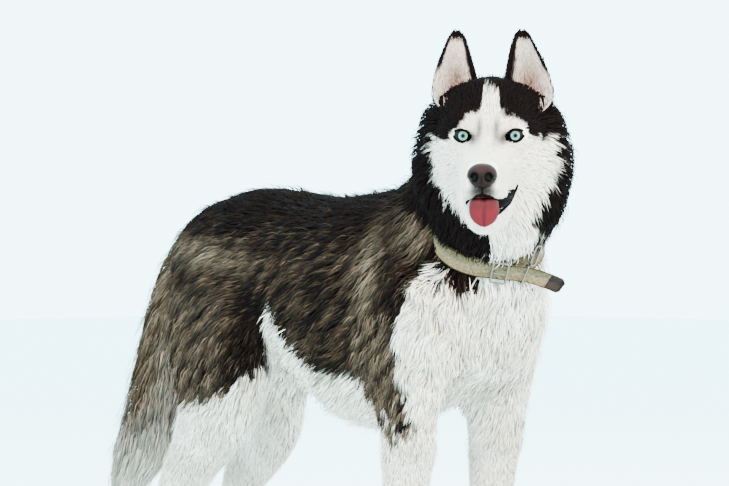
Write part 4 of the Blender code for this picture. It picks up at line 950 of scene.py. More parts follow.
def eyeball(side):
    """Rings of points from the middle of the pupil to the back of the ball, and their colours."""
    centre, across, out, above = eye_place(side)
    gaze = unit(out * 0.55 + np.array((-0.62, -0.78, 0.0)) * 0.45)
    first = unit(np.cross(gaze, above))
    second = np.cross(first, gaze)
    shines = np.random.default_rng(SEED).uniform(0.0, 1.0, EYE_SPOKES)
    rings = [(radius, math.sqrt(max(EYE_RADIUS**2 - radius**2, 0.0))) for radius in EYE_RINGS]
    rings += [(math.sqrt(EYE_RADIUS**2 - back**2), -back) for back in BACK_RINGS]
    points, colours = [], []
    for radius, deep in rings:
        for k in range(EYE_SPOKES):
            t = 2 * math.pi * k / EYE_SPOKES
            points.append(centre + (first * math.cos(t) + second * math.sin(t)) * radius + gaze * deep)
            height = (second @ above) * math.sin(t) + (first @ above) * math.cos(t)
            colours.append(eye_tone(radius, shines[k], height) if deep > 0 else EYE_WHITE)
    return points, capped_faces(len(rings), EYE_SPOKES), colours


def lids(side):
    """A black rim round the opening, widest at the outer corner, that sinks into the skin."""
    centre, across, out, above = eye_place(side)
    points, rows, count = [], 7, 40
    for i in range(rows):
        share = i / (rows - 1)
        for k in range(count):
            turn = 2 * math.pi * k / count
            corner = max(math.cos(turn) * side, 0.0) ** 6
            inner = max(-math.cos(turn) * side, 0.0) ** 6
            wide = 0.0022 + 0.0100 * corner + 0.0042 * inner + 0.0008 * abs(math.sin(turn))
            a = math.cos(turn) * LID_OPENING[0] / 2
            b = math.sin(turn) * LID_OPENING[1] / 2 * (1.0 - 0.35 * abs(math.cos(turn)) ** 3)
            grown = 1 + wide * share / math.hypot(a, b)
            arch = 0.0013 * math.sin(math.pi * min(share * 1.1, 1.0))
            radius = EYE_RADIUS + 0.0004 + arch - 0.0012 * max(share - 0.7, 0) / 0.3
            length = math.hypot(a, b) * grown
            reach = min(length, radius * 0.985)
            flat = (across * a + above * b) * (grown * reach / length)
            points.append(centre + flat + out * math.sqrt(radius**2 - reach**2))
    outer = list(points)
    for i in range(rows - 1, -1, -1):
        for k in range(count):
            way = outer[i * count + k] - centre
            length = np.linalg.norm(way)
            points.append(centre + way / length * min(length - 0.0009, EYE_RADIUS + 0.0002 + 0.0002 * i))
    return points, grid_faces(2 * rows, count, True, True)


for side, word in SIDES:
    closed_piece(f"eye_{word}_ball", eyeball(side), "eye", "eye", f"eye_{word}")
closed_piece("eye_rims", merged([lids(side) for side, _ in SIDES]), "lips", "eye")
print("eyes and lids made")


def open_eyes(points):
    """Sinks the skin over the eyeballs into a shallow socket behind the rims."""
    for side, _ in SIDES:
        centre, across, out, above = eye_place(side)
        offset = points - centre
        a, b, c = offset @ across, offset @ above, offset @ out
        span = np.hypot(a / (LID_OPENING[0] / 2 + 0.0010), b / (LID_OPENING[1] / 2 + 0.0014))
        sunk = smooth_step(-span, -1.25, -0.95) * (c > 0)
        points = mixed(points, centre + across * a[:, None] + above * b[:, None] + out * 0.003, sunk)
        socket = np.exp(-((np.hypot(a, b) / 0.021) ** 2)) * (c > 0) * (1 - sunk)
        limit = np.sqrt(np.maximum((EYE_RADIUS + 0.0012) ** 2 - np.minimum(a * a + b * b, 0.00015), 0))
        points = points - out * (np.maximum(c - limit, 0) * socket)[:, None] * 0.8
    return points


skin_points = open_eyes(points_of(skin))
set_points(skin, skin_points)
skin_normals = vertex_values(skin, "normal")

# %% [markdown]
# ## Ears, nose, mouth and claws

# %% Ears
# In millimetres, from foot to tip: height above the eyes, inner edge, outer edge, how far forward the edges
# are and depth of the cup
EAR_ROWS = metres((
    (24, 16, 56, -40, 18), (34, 15, 69, -40, 21), (46, 15, 74.5, -43, 24), (65, 20.5, 73, -49, 24),
    (83, 26.5, 68.5, -55, 20), (100, 32, 62, -61, 14), (113, 37, 56.5, -66, 8),
    (119.5, 41.5, 53, -69, 3), (122.5, 45, 49.5, -70, 1),
))
# Shift of the foot and of the tip away from the middle, and of the outer edge alone
EAR_LEAN = {"right": (0.000, -0.004, -0.0055), "left": (0.003, -0.010, 0.0)}
EAR_COLUMNS = 21
EAR_WALL = 0.0016
EAR_HAIR, EAR_SHADE = seen_as("d8cac2"), seen_as("94776b")


def ear(side, word):
    """A thin cup: rows of points over its inside, then the same over its outside, and its colours."""
    rows = smooth_rows(EAR_ROWS, 4)
    foot, tip = EAR_ROWS[0][0], EAR_ROWS[-1][0]
    foot_shift, tip_shift, edge_shift = EAR_LEAN[word]
    inside, colours = [], []
    for height, inner, outer, forward, depth in rows:
        share = (height - foot) / (tip - foot)
        outer += edge_shift * (1 - share)
        for t in np.linspace(-1, 1, EAR_COLUMNS):
            across = (inner + outer) / 2 + (outer - inner) / 2 * math.sin(t * math.pi / 2)
            across += foot_shift * (1 - share) + tip_shift * share
            fold = 0.10 * depth * math.exp(-(((t - 0.55) / 0.16) ** 2)) * (1 - share)
            inside.append(in_head(forward - depth * (1 - t * t) + fold, side * across, height))
            inner_rim = smooth_step(-t, 0.40, 0.52) * (share > 0.12)
            outer_rim = smooth_step(t, 0.62, 0.74) * smooth_step(share, 0.40, 0.55)
            # Painted shade in the hollow, low in the middle of the cup
            tone = mixed(EAR_HAIR, EAR_SHADE, spot(t, share, (0.05, 0.28), (0.42, 0.32)))
            colours.append(mixed(tone, BLACK, max(inner_rim, smooth_step(share, 0.84, 0.91), outer_rim)))
    count, size = len(rows), len(inside)
    grid = np.reshape(inside, (count, EAR_COLUMNS, 3))
    normal = unit(np.cross(np.gradient(grid, axis=0), np.gradient(grid, axis=1)))
    if normal[count // 2, EAR_COLUMNS // 2] @ FORWARD < 0:
        normal = -normal
    outside = (grid - normal * EAR_WALL).reshape(-1, 3)
    return np.vstack([inside, outside]), slab_faces(count, EAR_COLUMNS), colours + [BLACK] * size


EARS = {}
for side, word in SIDES:
    EARS[word] = closed_piece(f"ear_{word}_skin", ear(side, word), "skin", "fur", f"ear_{word}")
print("ears made")

# %% Nose
NOSE_MIDDLE = (0.1005, -0.0375)
NOSE_SIZE = (0.0180, 0.0138, 0.0146)
NOSE_SHADE, NOSE_MID = seen_as("080607"), seen_as("402f2f")


def nose(rows=48, count=72):
    """The leather of the nose: a rounded block, flat in front, with comma nostrils and a groove."""
    points, colours = [], []
    for i in range(rows):
        tilt = math.pi * (i + 0.5) / rows
        for k in range(count):
            # a is to the left, b forward and c up on a unit ball
            t = 2 * math.pi * k / count
            a, b, c = math.sin(tilt) * math.cos(t), math.cos(tilt), math.sin(tilt) * math.sin(t)
            wide = NOSE_SIZE[0] * (1.0 - 0.24 * smooth_step(-c, -0.1, 0.9) - 0.05 * smooth_step(c, 0.5, 1.0))
            left = math.copysign(abs(a) ** 0.86, a) * wide
            ahead = math.copysign(abs(b) ** 0.80, b) * NOSE_SIZE[1]
            height = math.copysign(abs(c) ** 0.88, c) * NOSE_SIZE[2]
            hole = 0.0
            if b > -0.2:
                near = math.hypot((abs(left) - 0.0080) / 0.0046, (height + 0.0005) / 0.0054)
                aside = abs(left) - 0.0140
                comma = math.hypot(aside / 0.0054, (height + 0.0038 + 0.2 * aside) / 0.0023)
                hole = max(math.exp(-(near**4)), 0.8 * math.exp(-(comma**4)))
            groove = math.exp(-((left / 0.0011) ** 2)) * smooth_step(-height, -0.003, 0.002) * (b > 0)
            ahead -= 0.0068 * hole + 0.0013 * groove
            points.append(in_head(NOSE_MIDDLE[0] + ahead - 0.10 * height, left, NOSE_MIDDLE[1] + height))
            # Painted highlight on the top of the nose and painted shade below it, with painted shade in the
            # nostrils and the groove
            shine = 0.55 + 0.85 * smooth_step(c, 0.0, 0.8)
            colours.append(mixed(NOSE_MID * shine, NOSE_SHADE, min(hole * 1.3 + 0.55 * groove, 1.0)))
    return points, capped_faces(rows, count), colours


closed_piece("nose_leather_pad", nose(), "nose", "nose_leather", "nose")
print("nose made")

# %% Lips and tongue
# Tubes in millimetres, as forward, left, up and radius: the lips from the left corner of the mouth round
# the front to the right side, a dark filler behind the tongue that is painted shade inside the open mouth,
# and the groove from the nose to the lip
MOUTH_TUBES = (
    (
        (36, 37.5, -56, 1.4), (46, 35, -62, 2.1), (62, 30.5, -66, 2.4), (80, 26.8, -66.5, 1.8),
        (94, 18.5, -67.2, 1.4), (102, 8, -61.8, 1.9), (103, 0, -60.2, 2.2), (102, -8, -62, 1),
        (98, -14.5, -65.8, 0.5), (93, -19, -69.5, 1.8), (89, -20, -72.5, 0.8),
    ),
    (
        (37, 37, -57.5, 1.3), (48, 30, -73.5, 1.8), (64, 24, -79.5, 2), (80, 18, -84, 1.8),
        (90, 9, -86.8, 1.6), (92, 0, -87.5, 1.6), (90, -9, -86.8, 1.6), (82, -16, -83.5, 1),
    ),
    (
        (60, -17, -70, 3), (74, -10, -72, 8), (80, 0, -72.5, 9.5), (79, 9, -72.5, 9.5),
        (72, 16.5, -72, 8.5), (60, 23.5, -70.5, 7), (50, 28.5, -67, 5), (42, 33, -61, 2),
    ),
    (
        (103.5, 0, -50.5, 0.6), (104, 0, -54.5, 1), (103.5, 0, -59, 1.2),
    ),
)
# The edges of the open mouth: height of the upper and of the lower lip, by how far forward they are
UPPER_EDGE = metres(((36, 46, 62, 80, 94, 103), (-56, -62, -66, -66.8, -66.8, -60)))
LOWER_EDGE = metres(((37, 48, 64, 80, 92), (-57.5, -73.5, -79.5, -84, -87.5)))
MOUTH_CORNER = 0.037
# Forward, up and half width of the tongue
TONGUE_ROWS = metres((
    (48, -74, 12), (68, -70.5, 15), (84, -67.5, 16), (95, -65, 16.4), (101.5, -68.2, 17.2),
    (104.2, -76.5, 17.8), (104.5, -85, 16.6), (103.2, -92, 13), (102, -96, 8), (101.2, -98, 2),
))
TONGUE_LEFT = 0.0018
TONGUE_THICKNESS = 0.0042
TONGUE_COLUMNS = 25
TONGUE_SHADE, TONGUE_ROSE = seen_as("3c1019"), seen_as("732134")


def tongue():
    """A slab with a groove along its middle that lies over the lower lip, thin and round at its edge."""
    rows = smooth_rows(TONGUE_ROWS, 5)
    top, under, colours = [], [], []
    for i, (forward, up, half_width) in enumerate(rows):
        along = unit(along_at(rows[:, :2], i))
        out = way_in_head(-along[1], 0, along[0])
        for t in np.linspace(-1, 1, TONGUE_COLUMNS):
            sink = 0.0016 * math.exp(-((t / 0.14) ** 2)) + 0.0030 * abs(t) ** 3
            round_edge = math.sqrt(max(1 - t**4, 0.02)) * min(1.0, (len(rows) - 0.5 - i) / 5) ** 0.5
            place = in_head(forward, half_width * t + TONGUE_LEFT, up) - out * sink
            top.append(place + out * TONGUE_THICKNESS * round_edge / 2)
            under.append(place - out * TONGUE_THICKNESS * round_edge / 2)
            # Painted shade: darker at the back, where the tongue goes into the mouth, along its groove and at
            # its edges
            inner = max(math.exp(-((t / 0.12) ** 2)) * 0.30, 1.4 * (1 - i / 27), 0.20 * t**4)
            colours.append(shaded(TONGUE_ROSE, TONGUE_SHADE, min(inner, 1.0)))
    return top + under, slab_faces(len(rows), TONGUE_COLUMNS), colours + colours


def in_mouth(points, above, below, right):
    """Whether points lie between the lips, grown so much above and below, and out so far to the right."""
    forward, left, up = head_place(points)
    upper, lower = np.interp(forward, *UPPER_EDGE), np.interp(forward, *LOWER_EDGE)
    return (forward > MOUTH_CORNER) & (up < upper + above) & (up > lower - below) & (left > -right)


lips_and_mouth_shade_tubes = merged([head_tube(rows, 5, 10, flat=0.9) for rows in MOUTH_TUBES])
# The lips piece also holds the dark filler that paints the shade inside the open mouth
closed_piece("lips", lips_and_mouth_shade_tubes, "lips", "nose_leather")
closed_piece("tongue_body", tongue(), "tongue", "tongue", "tongue")
print("lips and tongue made")

# %% Claws
FEET = ((-0.079, -0.168), (0.079, -0.168), (-0.081, 0.274), (0.081, 0.320))
TOE_PLACES = (-0.74, -0.26, 0.26, 0.74)
PAW_HALF_WIDTH, PAW_LENGTH, TOE_HEIGHT, CLAW_RADIUS = 0.031, 0.062, 0.016, 0.0027
CLAW_CURVE = ((0.010, 0.0, 1.0), (0.019, -0.0005, 0.95), (0.026, -0.004, 0.62), (0.0305, -0.0085, 0.10))


def claw(foot, across):
    """A curved cone from the end of a toe."""
    reach = PAW_LENGTH * (0.80 if abs(across) > 0.5 else 1.0)
    fan = math.radians(9 * across)
    tip = np.array((foot[0] + across * PAW_HALF_WIDTH, foot[1] - reach + 0.016, TOE_HEIGHT))
    way = np.array((math.sin(fan), -math.cos(fan), 0.0))
    rows = smooth_rows(CLAW_CURVE, 3)
    return tube([tip + way * a + np.array((0, 0, b)) for a, b, _ in rows], CLAW_RADIUS * rows[:, 2], 10)


claws = merged([claw(foot, across) for foot in FEET for across in TOE_PLACES])
closed_piece("claws", claws, "claw", "nose_leather")
print("claws made")

# %% [markdown]
# ## The collar
# A felt band round the neck, its loose end with a dark leather tip, a buckle frame with its prong, a wire
# keeper and a ring for a leash.

# %% Collar
BAND_STEPS = 144
END_WALL = COLLAR_THICKNESS * 0.8
END_HALF = COLLAR_END_WIDTH / 2
EDGE_INSET = 0.0003
# The loose end from the buckle, in millimetres: to the dog's left, outward, and along the neck
LOOSE_END = metres((
    (-4, 0, 0), (12, 0.5, -2), (28, -2, -5), (44, -5, -10), (60, -7, -17), (74, -8, -24), (86, -9, -31)
))
TIP_PLACES = 13
BUCKLE_PLACE, KEEPER_PLACE = 4, 20
PRONG = metres(((-8.5, 0.4), (-4, 1.2), (2, 1), (9.5, 0.6)))
PRONG_RADII = (0.0011, 0.0010, 0.0009, 0.0005)


def strap(rows, wall, closed=False, bevel=0.0005):
    """A flat strap through rows of middle, way across, way out and half width, with rounded edges."""
    profile = []
    for a, b in ((-1, -1), (-1, 1), (1, 1), (1, -1)):
        for turn in (0.0, 0.5, 1.0):
            share = turn if a * b > 0 else 1 - turn
            profile.append((a, b, -a * bevel * share, -b * bevel * (1 - share)))
    points = [
        middle + across * (a * half + a_cut) + out * (b * wall / 2 + b_cut)
        for middle, across, out, half in rows
        for a, b, a_cut, b_cut in profile
    ]
    around = len(profile)
    return points, grid_faces(len(rows), around, True, True) if closed else capped_faces(len(rows), around)


def edge_rolls(places, half, wall, radius, closed=False):
    """Fine rolls of felt along both edges of a strap."""
    lines = [
        [m + across * sign * (half - EDGE_INSET) + out * wall * 0.32 for m, _, across, out in places]
        for sign in (-1, 1)
    ]
    return merged([tube(line, radius, 6, closed) for line in lines])


def worn(turn):
    """How much the old felt band sags in and out at a turn round the neck."""
    return 0.0005 * math.sin(3.0 * turn + 0.6) + 0.0003 * math.sin(7.0 * turn)


def narrowed(places, shrink_end):
    """Rows of a strap that narrows over its last four places."""
    rows = []
    for i, (middle, _, across, out) in enumerate(places):
        left_over = (len(places) - 1 - i) / 4
        rows.append((middle, across, out, END_HALF * (1.0 - shrink_end * max(0.0, 1 - left_over) ** 2)))
    return rows


def wire_loop(middle, first, second, half_first, half_second, radius):
    """A closed wire in the shape of a rounded rectangle on the axes first and second."""
    points = []
    for t in 2 * math.pi * np.arange(48) / 48:
        c, s = math.cos(t), math.sin(t)
        a = math.copysign(abs(c) ** 0.30, c) * half_first
        b = math.copysign(abs(s) ** 0.30, s) * half_second
        points.append(middle + first * a + second * b)
    return tube(points, radius, 10, closed=True)


band = []
for i in range(BAND_STEPS):
    turn = 2 * math.pi * i / BAND_STEPS
    middle = collar_point(turn, COLLAR_RADIUS - COLLAR_THICKNESS / 2 + worn(turn))
    band.append((middle, None, COLLAR_NORMAL, unit(collar_point(turn) - COLLAR_CENTRE)))
band_rows = [(middle, across, out, COLLAR_WIDTH / 2) for middle, _, across, out in band]
band_edges = edge_rolls(band, COLLAR_WIDTH / 2, COLLAR_THICKNESS, 0.0007, True)
band_shape = strap(band_rows, COLLAR_THICKNESS, True)
closed_piece("collar_felt_band", band_shape, "felt", "collar_felt", "collar_band")
closed_piece("collar_band_edges", band_edges, "felt_edge", "collar_felt")

start = collar_point(0.0, COLLAR_RADIUS + END_WALL / 2 + 0.0012)
outward = unit(start - COLLAR_CENTRE)
line = [start + COLLAR_LEFT * a + outward * b + COLLAR_NORMAL * c for a, b, c in smooth_rows(LOOSE_END, 8)]
end_places = []
for i, middle in enumerate(line):
    along = unit(along_at(line, i))
    across = unit(COLLAR_NORMAL - along * along.dot(COLLAR_NORMAL))
    out = np.cross(along, across)
    end_places.append((middle, along, across, out if out.dot(outward) >= 0 else -out))
cut = len(end_places) - TIP_PLACES
felt_places, tip_places = end_places[: cut + 1], end_places[cut:]
seam = [m + a * END_HALF * 0.90 + o * COLLAR_THICKNESS / 2 for m, _, a, o in tip_places[:-2]]
seam += [m - a * END_HALF * 0.90 + o * COLLAR_THICKNESS / 2 for m, _, a, o in reversed(tip_places[:-2])]
for name, shape, *where in (
    ("collar_loose_end", strap(narrowed(felt_places, 0.0), END_WALL), "felt", "collar_felt", "collar_end"),
    ("collar_leather_tip", strap(narrowed(tip_places, 0.35), COLLAR_THICKNESS), "leather", "dark_leather",
     "collar_tip"),
    ("collar_tip_seam", tube(seam, 0.0005, 6), "felt_edge", "dark_leather"),
    ("collar_end_edges", edge_rolls(felt_places, END_HALF, END_WALL, 0.0006), "felt_edge", "collar_felt"),
):
    closed_piece(name, shape, *where)

middle, along, across, out = end_places[BUCKLE_PLACE]
seat = middle + out * (END_WALL / 2 + WIRE_RADIUS + 0.0005)
buckle = wire_loop(seat, along, across, 0.0095, 0.0150, WIRE_RADIUS)
prong = tube([seat + along * a + out * b for a, b in PRONG], PRONG_RADII, 10)
middle, along, across, out = end_places[KEEPER_PLACE]
loop_reach = WIRE_RADIUS + 0.0008
keeper = wire_loop(middle, out, across, END_WALL / 2 + loop_reach, END_HALF + loop_reach, WIRE_RADIUS * 0.8)
middle = collar_point(LEASH_RING_TURN, COLLAR_RADIUS + WIRE_RADIUS + 0.0006, 0.008)
side_way = unit(collar_point(LEASH_RING_TURN + 0.05) - collar_point(LEASH_RING_TURN - 0.05))
lean = unit(COLLAR_NORMAL + side_way * 0.5)
level = unit(side_way - lean * side_way.dot(lean))
ring = wire_loop(middle, level, lean, 0.0060, 0.0130, WIRE_RADIUS * 0.9)
for name, shape, node in (
    ("buckle_wire_frame", buckle, "buckle_frame"),
    ("buckle_tongue", prong, "buckle_prong"),
    ("keeper_wire", keeper, "keeper_loop"),
    ("leash_ring_wire", ring, "leash_ring"),
):
    closed_piece(name, shape, "nickel", "nickel_wire", node)
print("collar made")

# %% [markdown]
# ## The coat
# Roots are scattered over the skin, closest where the tufts are smallest. Each tuft is a closed curved
# blade of ten triangles whose root sinks into the skin, and whose middle and tip follow the skin at the
# depth of the coat.

# %% Roots of the coat
TUFTS = 138000
draw = np.random.default_rng(SEED)
skin_tree = BVHTree.FromPolygons(skin_points.tolist(), [tuple(p.vertices) for p in skin.data.polygons])

# The tufts stand on the directions of a calmer skin, so that its small bumps don't ruffle them
calm = bpy.data.objects.new("calm", skin.data.copy())
soften(calm, 0.5 * (1 - 0.9 * on_face(skin_points)), 45)
calm_normals = np.zeros(len(calm.data.polygons) * 3, np.float32)
calm.data.polygons.foreach_get("normal", calm_normals)
calm_normals = calm_normals.reshape(-1, 3).astype(float)
bpy.data.objects.remove(calm)

triangles = triangles_of(skin)
middles = skin_points[triangles].mean(1)
middle_values = coat_at(middles)[1]
density = 1.0 / (middle_values[:, 0] * middle_values[:, 2]) ** 0.62
density *= 1 + 0.6 * smooth_step(head_place(middles)[0], -0.06, -0.02)
roots, chosen = scatter(draw, skin_points, triangles, density, TUFTS)
owners = np.zeros(len(triangles), np.int32)
skin.data.loop_triangles.foreach_get("polygon_index", owners)
root_normals = calm_normals[owners[chosen]]

# Roots are left out under the collar's band, under the nose, inside the mouth and in the eyes
lift, reach, from_nape = round_collar(roots)
near_band = (np.abs(lift) < COLLAR_WIDTH / 2 - 0.002) & (reach < COLLAR_RADIUS + 0.003)
under_band = near_band & (lift < -COLLAR_WIDTH / 2 + 0.0105)
keep = ~(near_band & ~under_band & (from_nape > math.radians(58)))
forward, left, up = head_place(roots)
keep &= ~((forward > 0.0865) & (np.abs(left) < 0.0175) & (np.abs(up + 0.0375) < 0.0150))
keep &= ~in_mouth(roots, 0.001, 0.0025, 0.012)
for side, _ in SIDES:
    centre, across, out, above = eye_place(side)
    offset = roots - centre
    wide, tall = LID_OPENING[0] / 2 + 0.0028, LID_OPENING[1] / 2 + 0.0026
    span = np.hypot((offset @ across) / wide, (offset @ above) / tall)
    keep &= ~((span < 1.0) & (offset @ out > 0))
roots, root_normals, under_band = roots[keep], root_normals[keep], under_band[keep]
print(len(roots), "roots")

# %% Tools for tufts
BLADE = ((0, 1, 2), (0, 3, 4, 1), (1, 4, 5, 2), (2, 5, 3, 0), (3, 6, 4), (4, 6, 5), (5, 6, 3))
BLADE_UV = ((0.0, 0.0), (1.0, 0.0), (0.5, 0.2), (0.0, 0.5), (1.0, 0.5), (0.5, 0.6), (0.5, 1.0))
BLADE_UV_SIZE = 0.003
TUFTS_IN_PIECE = 19500


def follow(points, height):
    """Points moved to so far above the skin under them."""
    moved = np.empty_like(points)
    for i, (point, rise) in enumerate(zip(points, height)):
        near, _, owner, _ = skin_tree.find_nearest(point)
        moved[i] = np.add(near, calm_normals[owner] * rise)
    return moved


def laid_flat(ways, normals):
    """Ways turned to lie flat on the skin."""
    return unit(ways - normals * np.sum(ways * normals, axis=1, keepdims=True))


def blades(base, knee, tip, normals, width):
    """The seven points of each tuft: three at the root, three at the knee and the tip."""
    low_side, high_side = np.cross(normals, knee - base), np.cross(normals, tip - knee)
    low_side /= np.linalg.norm(low_side, axis=1, keepdims=True) + 1e-12
    high_side /= np.linalg.norm(high_side, axis=1, keepdims=True) + 1e-12
    low_side *= width[:, None] * 0.34
    high_side *= width[:, None] * 0.5
    lift = normals * (width * 0.30)[:, None]
    at_root = (base + low_side, base - low_side, base + lift * 0.6)
    at_knee = (knee + high_side, knee - high_side, knee + lift)
    return np.stack((*at_root, *at_knee, tip), axis=1)


def coat_pieces(name, points, colours, places):
    """Joined meshes of tufts, each under the limit of triangles, with a map of where each root lies."""
    corners = np.concatenate([np.array(face) for face in BLADE])
    face_sizes = np.array([len(face) for face in BLADE])
    made = []
    for start in range(0, len(points), TUFTS_IN_PIECE):
        part = slice(start, start + TUFTS_IN_PIECE)
        count = len(points[part])
        all_corners = (corners[None] + 7 * np.arange(count)[:, None]).ravel()
        starts = np.concatenate([[0], np.cumsum(np.tile(face_sizes, count))[:-1]])
        data = bpy.data.meshes.new(f"{name}_{start // TUFTS_IN_PIECE + 1}")
        data.vertices.add(count * 7)
        data.vertices.foreach_set("co", (points[part].reshape(-1, 3) + SHIFT).astype(np.float32).ravel())
        data.loops.add(len(all_corners))
        data.loops.foreach_set("vertex_index", all_corners.astype(np.int32))
        data.polygons.add(len(starts))
        data.polygons.foreach_set("loop_start", starts.astype(np.int32))
        shade_smooth(data)
        data.update(calc_edges=True)
        obj = linked(data.name, data)
        paint(obj, colours[part].reshape(-1, 3))
        where = places[part][:, None] + np.array(BLADE_UV)[None] * BLADE_UV_SIZE
        layer = data.uv_layers.new(name="OFBake")
        layer.data.foreach_set("uv", where.reshape(-1, 2)[all_corners].astype(np.float32).ravel())
        made.append(piece(obj, "fur", "fur"))
    return made


def rolled(along, low, size, around, corner, tile=(0.46, 0.46)):
    """Places in a tile of the map, along a limb from low over so much and round it."""
    share, turn = np.clip((along - low) / size, 0, 1), around / (2 * math.pi) + 0.5
    return np.column_stack([corner[0] + tile[0] * share, corner[1] + tile[1] * turn])


def unwrapped(points, kinds):
    """Each root's place on an unwrap of the skin, with body, head, tail and legs each in a tile."""
    x, y, z = points.T
    forward, left, up = head_place(points)
    legs = (kinds == 0) & (z < 0.30) & (np.abs(x) > 0.03)
    front = y < 0.02
    body = rolled(y, -0.32, 0.70, np.arctan2(x, z - 0.45), (0.02, 0.02))
    head = rolled(forward, -0.18, 0.30, np.arctan2(left, up + 0.035), (0.52, 0.02), (0.45, 0.46))
    tail = rolled(z, 0.13, 0.42, np.arctan2(x + 0.015, y - 0.38), (0.52, 0.52), (0.45, 0.20))
    middle = np.where(front, -0.150, np.where(x > 0, 0.30, 0.26))
    foot = 0.52 + 0.115 * ((x > 0) * 1 + front * 2)
    leg = rolled(z, 0.0, 0.30, np.arctan2(np.abs(x) - 0.08, y - middle), (0.02, foot), (0.45, 0.105))
    return np.select([(kinds == 2)[:, None], (kinds == 1)[:, None], legs[:, None]], [tail, head, leg], body)


def tuft_colours(points, banded, base):
    """Root, knee and tip colours of each tuft: roots are painted darker as shade deep in the coat, less on
    pale tufts, and brown ones are banded.
    """
    count = len(points)
    shade = draw.normal(0, 0.06, count)
    # Painted shade at the roots, deep in the coat
    root = base * np.where(base.mean(1) < 0.12, 0.85, 0.96)[:, None]
    knee = base * (1 + shade)[:, None]
    tip = base * (1.03 + shade * 0.6)[:, None]
    chance = draw.random(count)
    light_band = base * 1.6 + TAN * 0.25 * draw.random(count)[:, None]
    knee = mixed(knee, light_band, banded * (chance < 0.30) * 0.55)
    tip = mixed(tip, DARK_BROWN, banded * (chance > 0.25) * 0.45)
    wave = np.clip(1 + 0.22 * ripple(points, 0.013, 31) + 0.12 * ripple(points, 0.005, 32), 0.5, 1.5)
    wave = 1 + (wave - 1) * np.where(banded > 0.3, 1.0, 0.25)
    tones = np.stack([root, root, root, knee, knee, knee, tip], axis=1) * wave[:, None, None]
    return np.clip(tones, 0.002, 0.86)


print("tools for tufts ready")

# %% Tufts
WIDTH_SHARE = 0.64
QUICK_WIDTH = 1.0
BOX_MARGIN = 0.008
ways, values = coat_at(roots)
kinds = kind_of(roots)
length, depth, width = values.T
count = len(roots)
length = length * draw.uniform(0.78, 1.18, count)
width = width * WIDTH_SHARE * draw.uniform(0.75, 1.15, count) * QUICK_WIDTH
swirl = three_ripples(roots, 0.045, (21, 22, 23))
clump = three_ripples(roots, 0.012, (24, 25, 26))
curl = three_ripples(roots, 0.022, (27, 28, 29))
long_coat = smooth_step(length, 0.010, 0.030)[:, None]
loose = np.where(kinds == 2, 0.5, 1.0)[:, None]
woolly = smooth_step(-roots[:, 1], 0.16, 0.20) * smooth_step(roots[:, 2], 0.27, 0.31) * (kinds == 0)
stir = 0.12 * swirl * (0.4 + long_coat) + 0.11 * clump * long_coat + draw.normal(0, 0.05, (count, 3))
ways = laid_flat(ways + 0.26 * curl * woolly[:, None] + loose * stir, root_normals)

# Tufts above the collar stop at its upper edge
lift, _, from_nape = round_collar(roots)
fall = -(ways @ COLLAR_NORMAL) * length
over = np.where(draw.random(count) < 0.30, 0.0060, 0.003)
stops = (lift > 0.008) & (lift - fall < COLLAR_WIDTH / 2 - over) & (from_nape > math.radians(50)) & (fall > 0)
allowed = np.clip((lift - COLLAR_WIDTH / 2 + over) / np.maximum(fall, 1e-6), 0.2, 1.0)
allowed = np.where(stops, allowed, 1.0)
length, width = length * allowed, width * np.sqrt(allowed)

rise = depth * draw.uniform(0.62, 1.0, count) + 0.0006
fine = draw.random(count) < 0.16
rise = np.where(fine, rise * draw.uniform(1.2, 1.9, count), rise)
width = np.where(fine, width * 0.6, width)
rise = np.where(stops, np.where(over > 0.005, rise + 0.0025, rise * 0.7), rise)
rise = np.where(under_band, rise * 0.45, rise)
whole, lifted = ways * length[:, None], root_normals * rise[:, None]
knees = follow(roots + whole * 0.48, rise * 0.85)
tips = follow(roots + whole, rise)
straight = roots + whole * 0.9 + lifted * 0.6
jumped = np.linalg.norm(tips - straight, axis=1) > 0.35 * length + 0.004
tips[jumped] = straight[jumped]
knees[jumped] = (roots * 0.5 + straight * 0.5 + lifted * 0.3)[jumped]
bases = roots - root_normals * np.minimum(0.0025, 0.3 * depth + 0.0005)[:, None]
toward_tip = np.where(stops, 0.0, np.where(kinds == 1, 0.75, 0.55))
tone_places = mixed(roots, tips, toward_tip)

# Tufts that would leave the solids' box or bend too far are left out
low, high = np.array(cad_low) - SHIFT - BOX_MARGIN, np.array(cad_high) - SHIFT + BOX_MARGIN
low[2] = -0.001
good = (tips > low).all(1) & (tips < high).all(1)
good &= np.linalg.norm(tips - knees, axis=1) < 0.72 * length + 0.003
good &= np.linalg.norm(knees - roots, axis=1) < 0.68 * length + 0.004 + depth
print(int((~good).sum()), "tufts left out")
roots, root_normals, kinds, width, bases, knees, tips, tone_places = (
    part[good] for part in (roots, root_normals, kinds, width, bases, knees, tips, tone_places)
)
base_colours, banded = markings(tone_places, root_normals, kind_of(tone_places))
coat_points = blades(bases, knees, tips, root_normals, width)
coat_colours = tuft_colours(roots, banded, base_colours)
coat_uv = unwrapped(roots, kinds)
on_body, y = kinds == 0, roots[:, 1]
coat = []
for name, chosen in (
    ("coat_head", kinds == 1),
    ("coat_tail", kinds == 2),
    ("coat_front", on_body & (y < -0.05)),
    ("coat_middle", on_body & (y >= -0.05) & (y < 0.12)),
    ("coat_rear", on_body & (y >= 0.12)),
):
    coat += coat_pieces(name, coat_points[chosen], coat_colours[chosen], coat_uv[chosen])
print(len(coat), "pieces of coat with", sum(len(o.data.polygons) for o in coat), "faces")

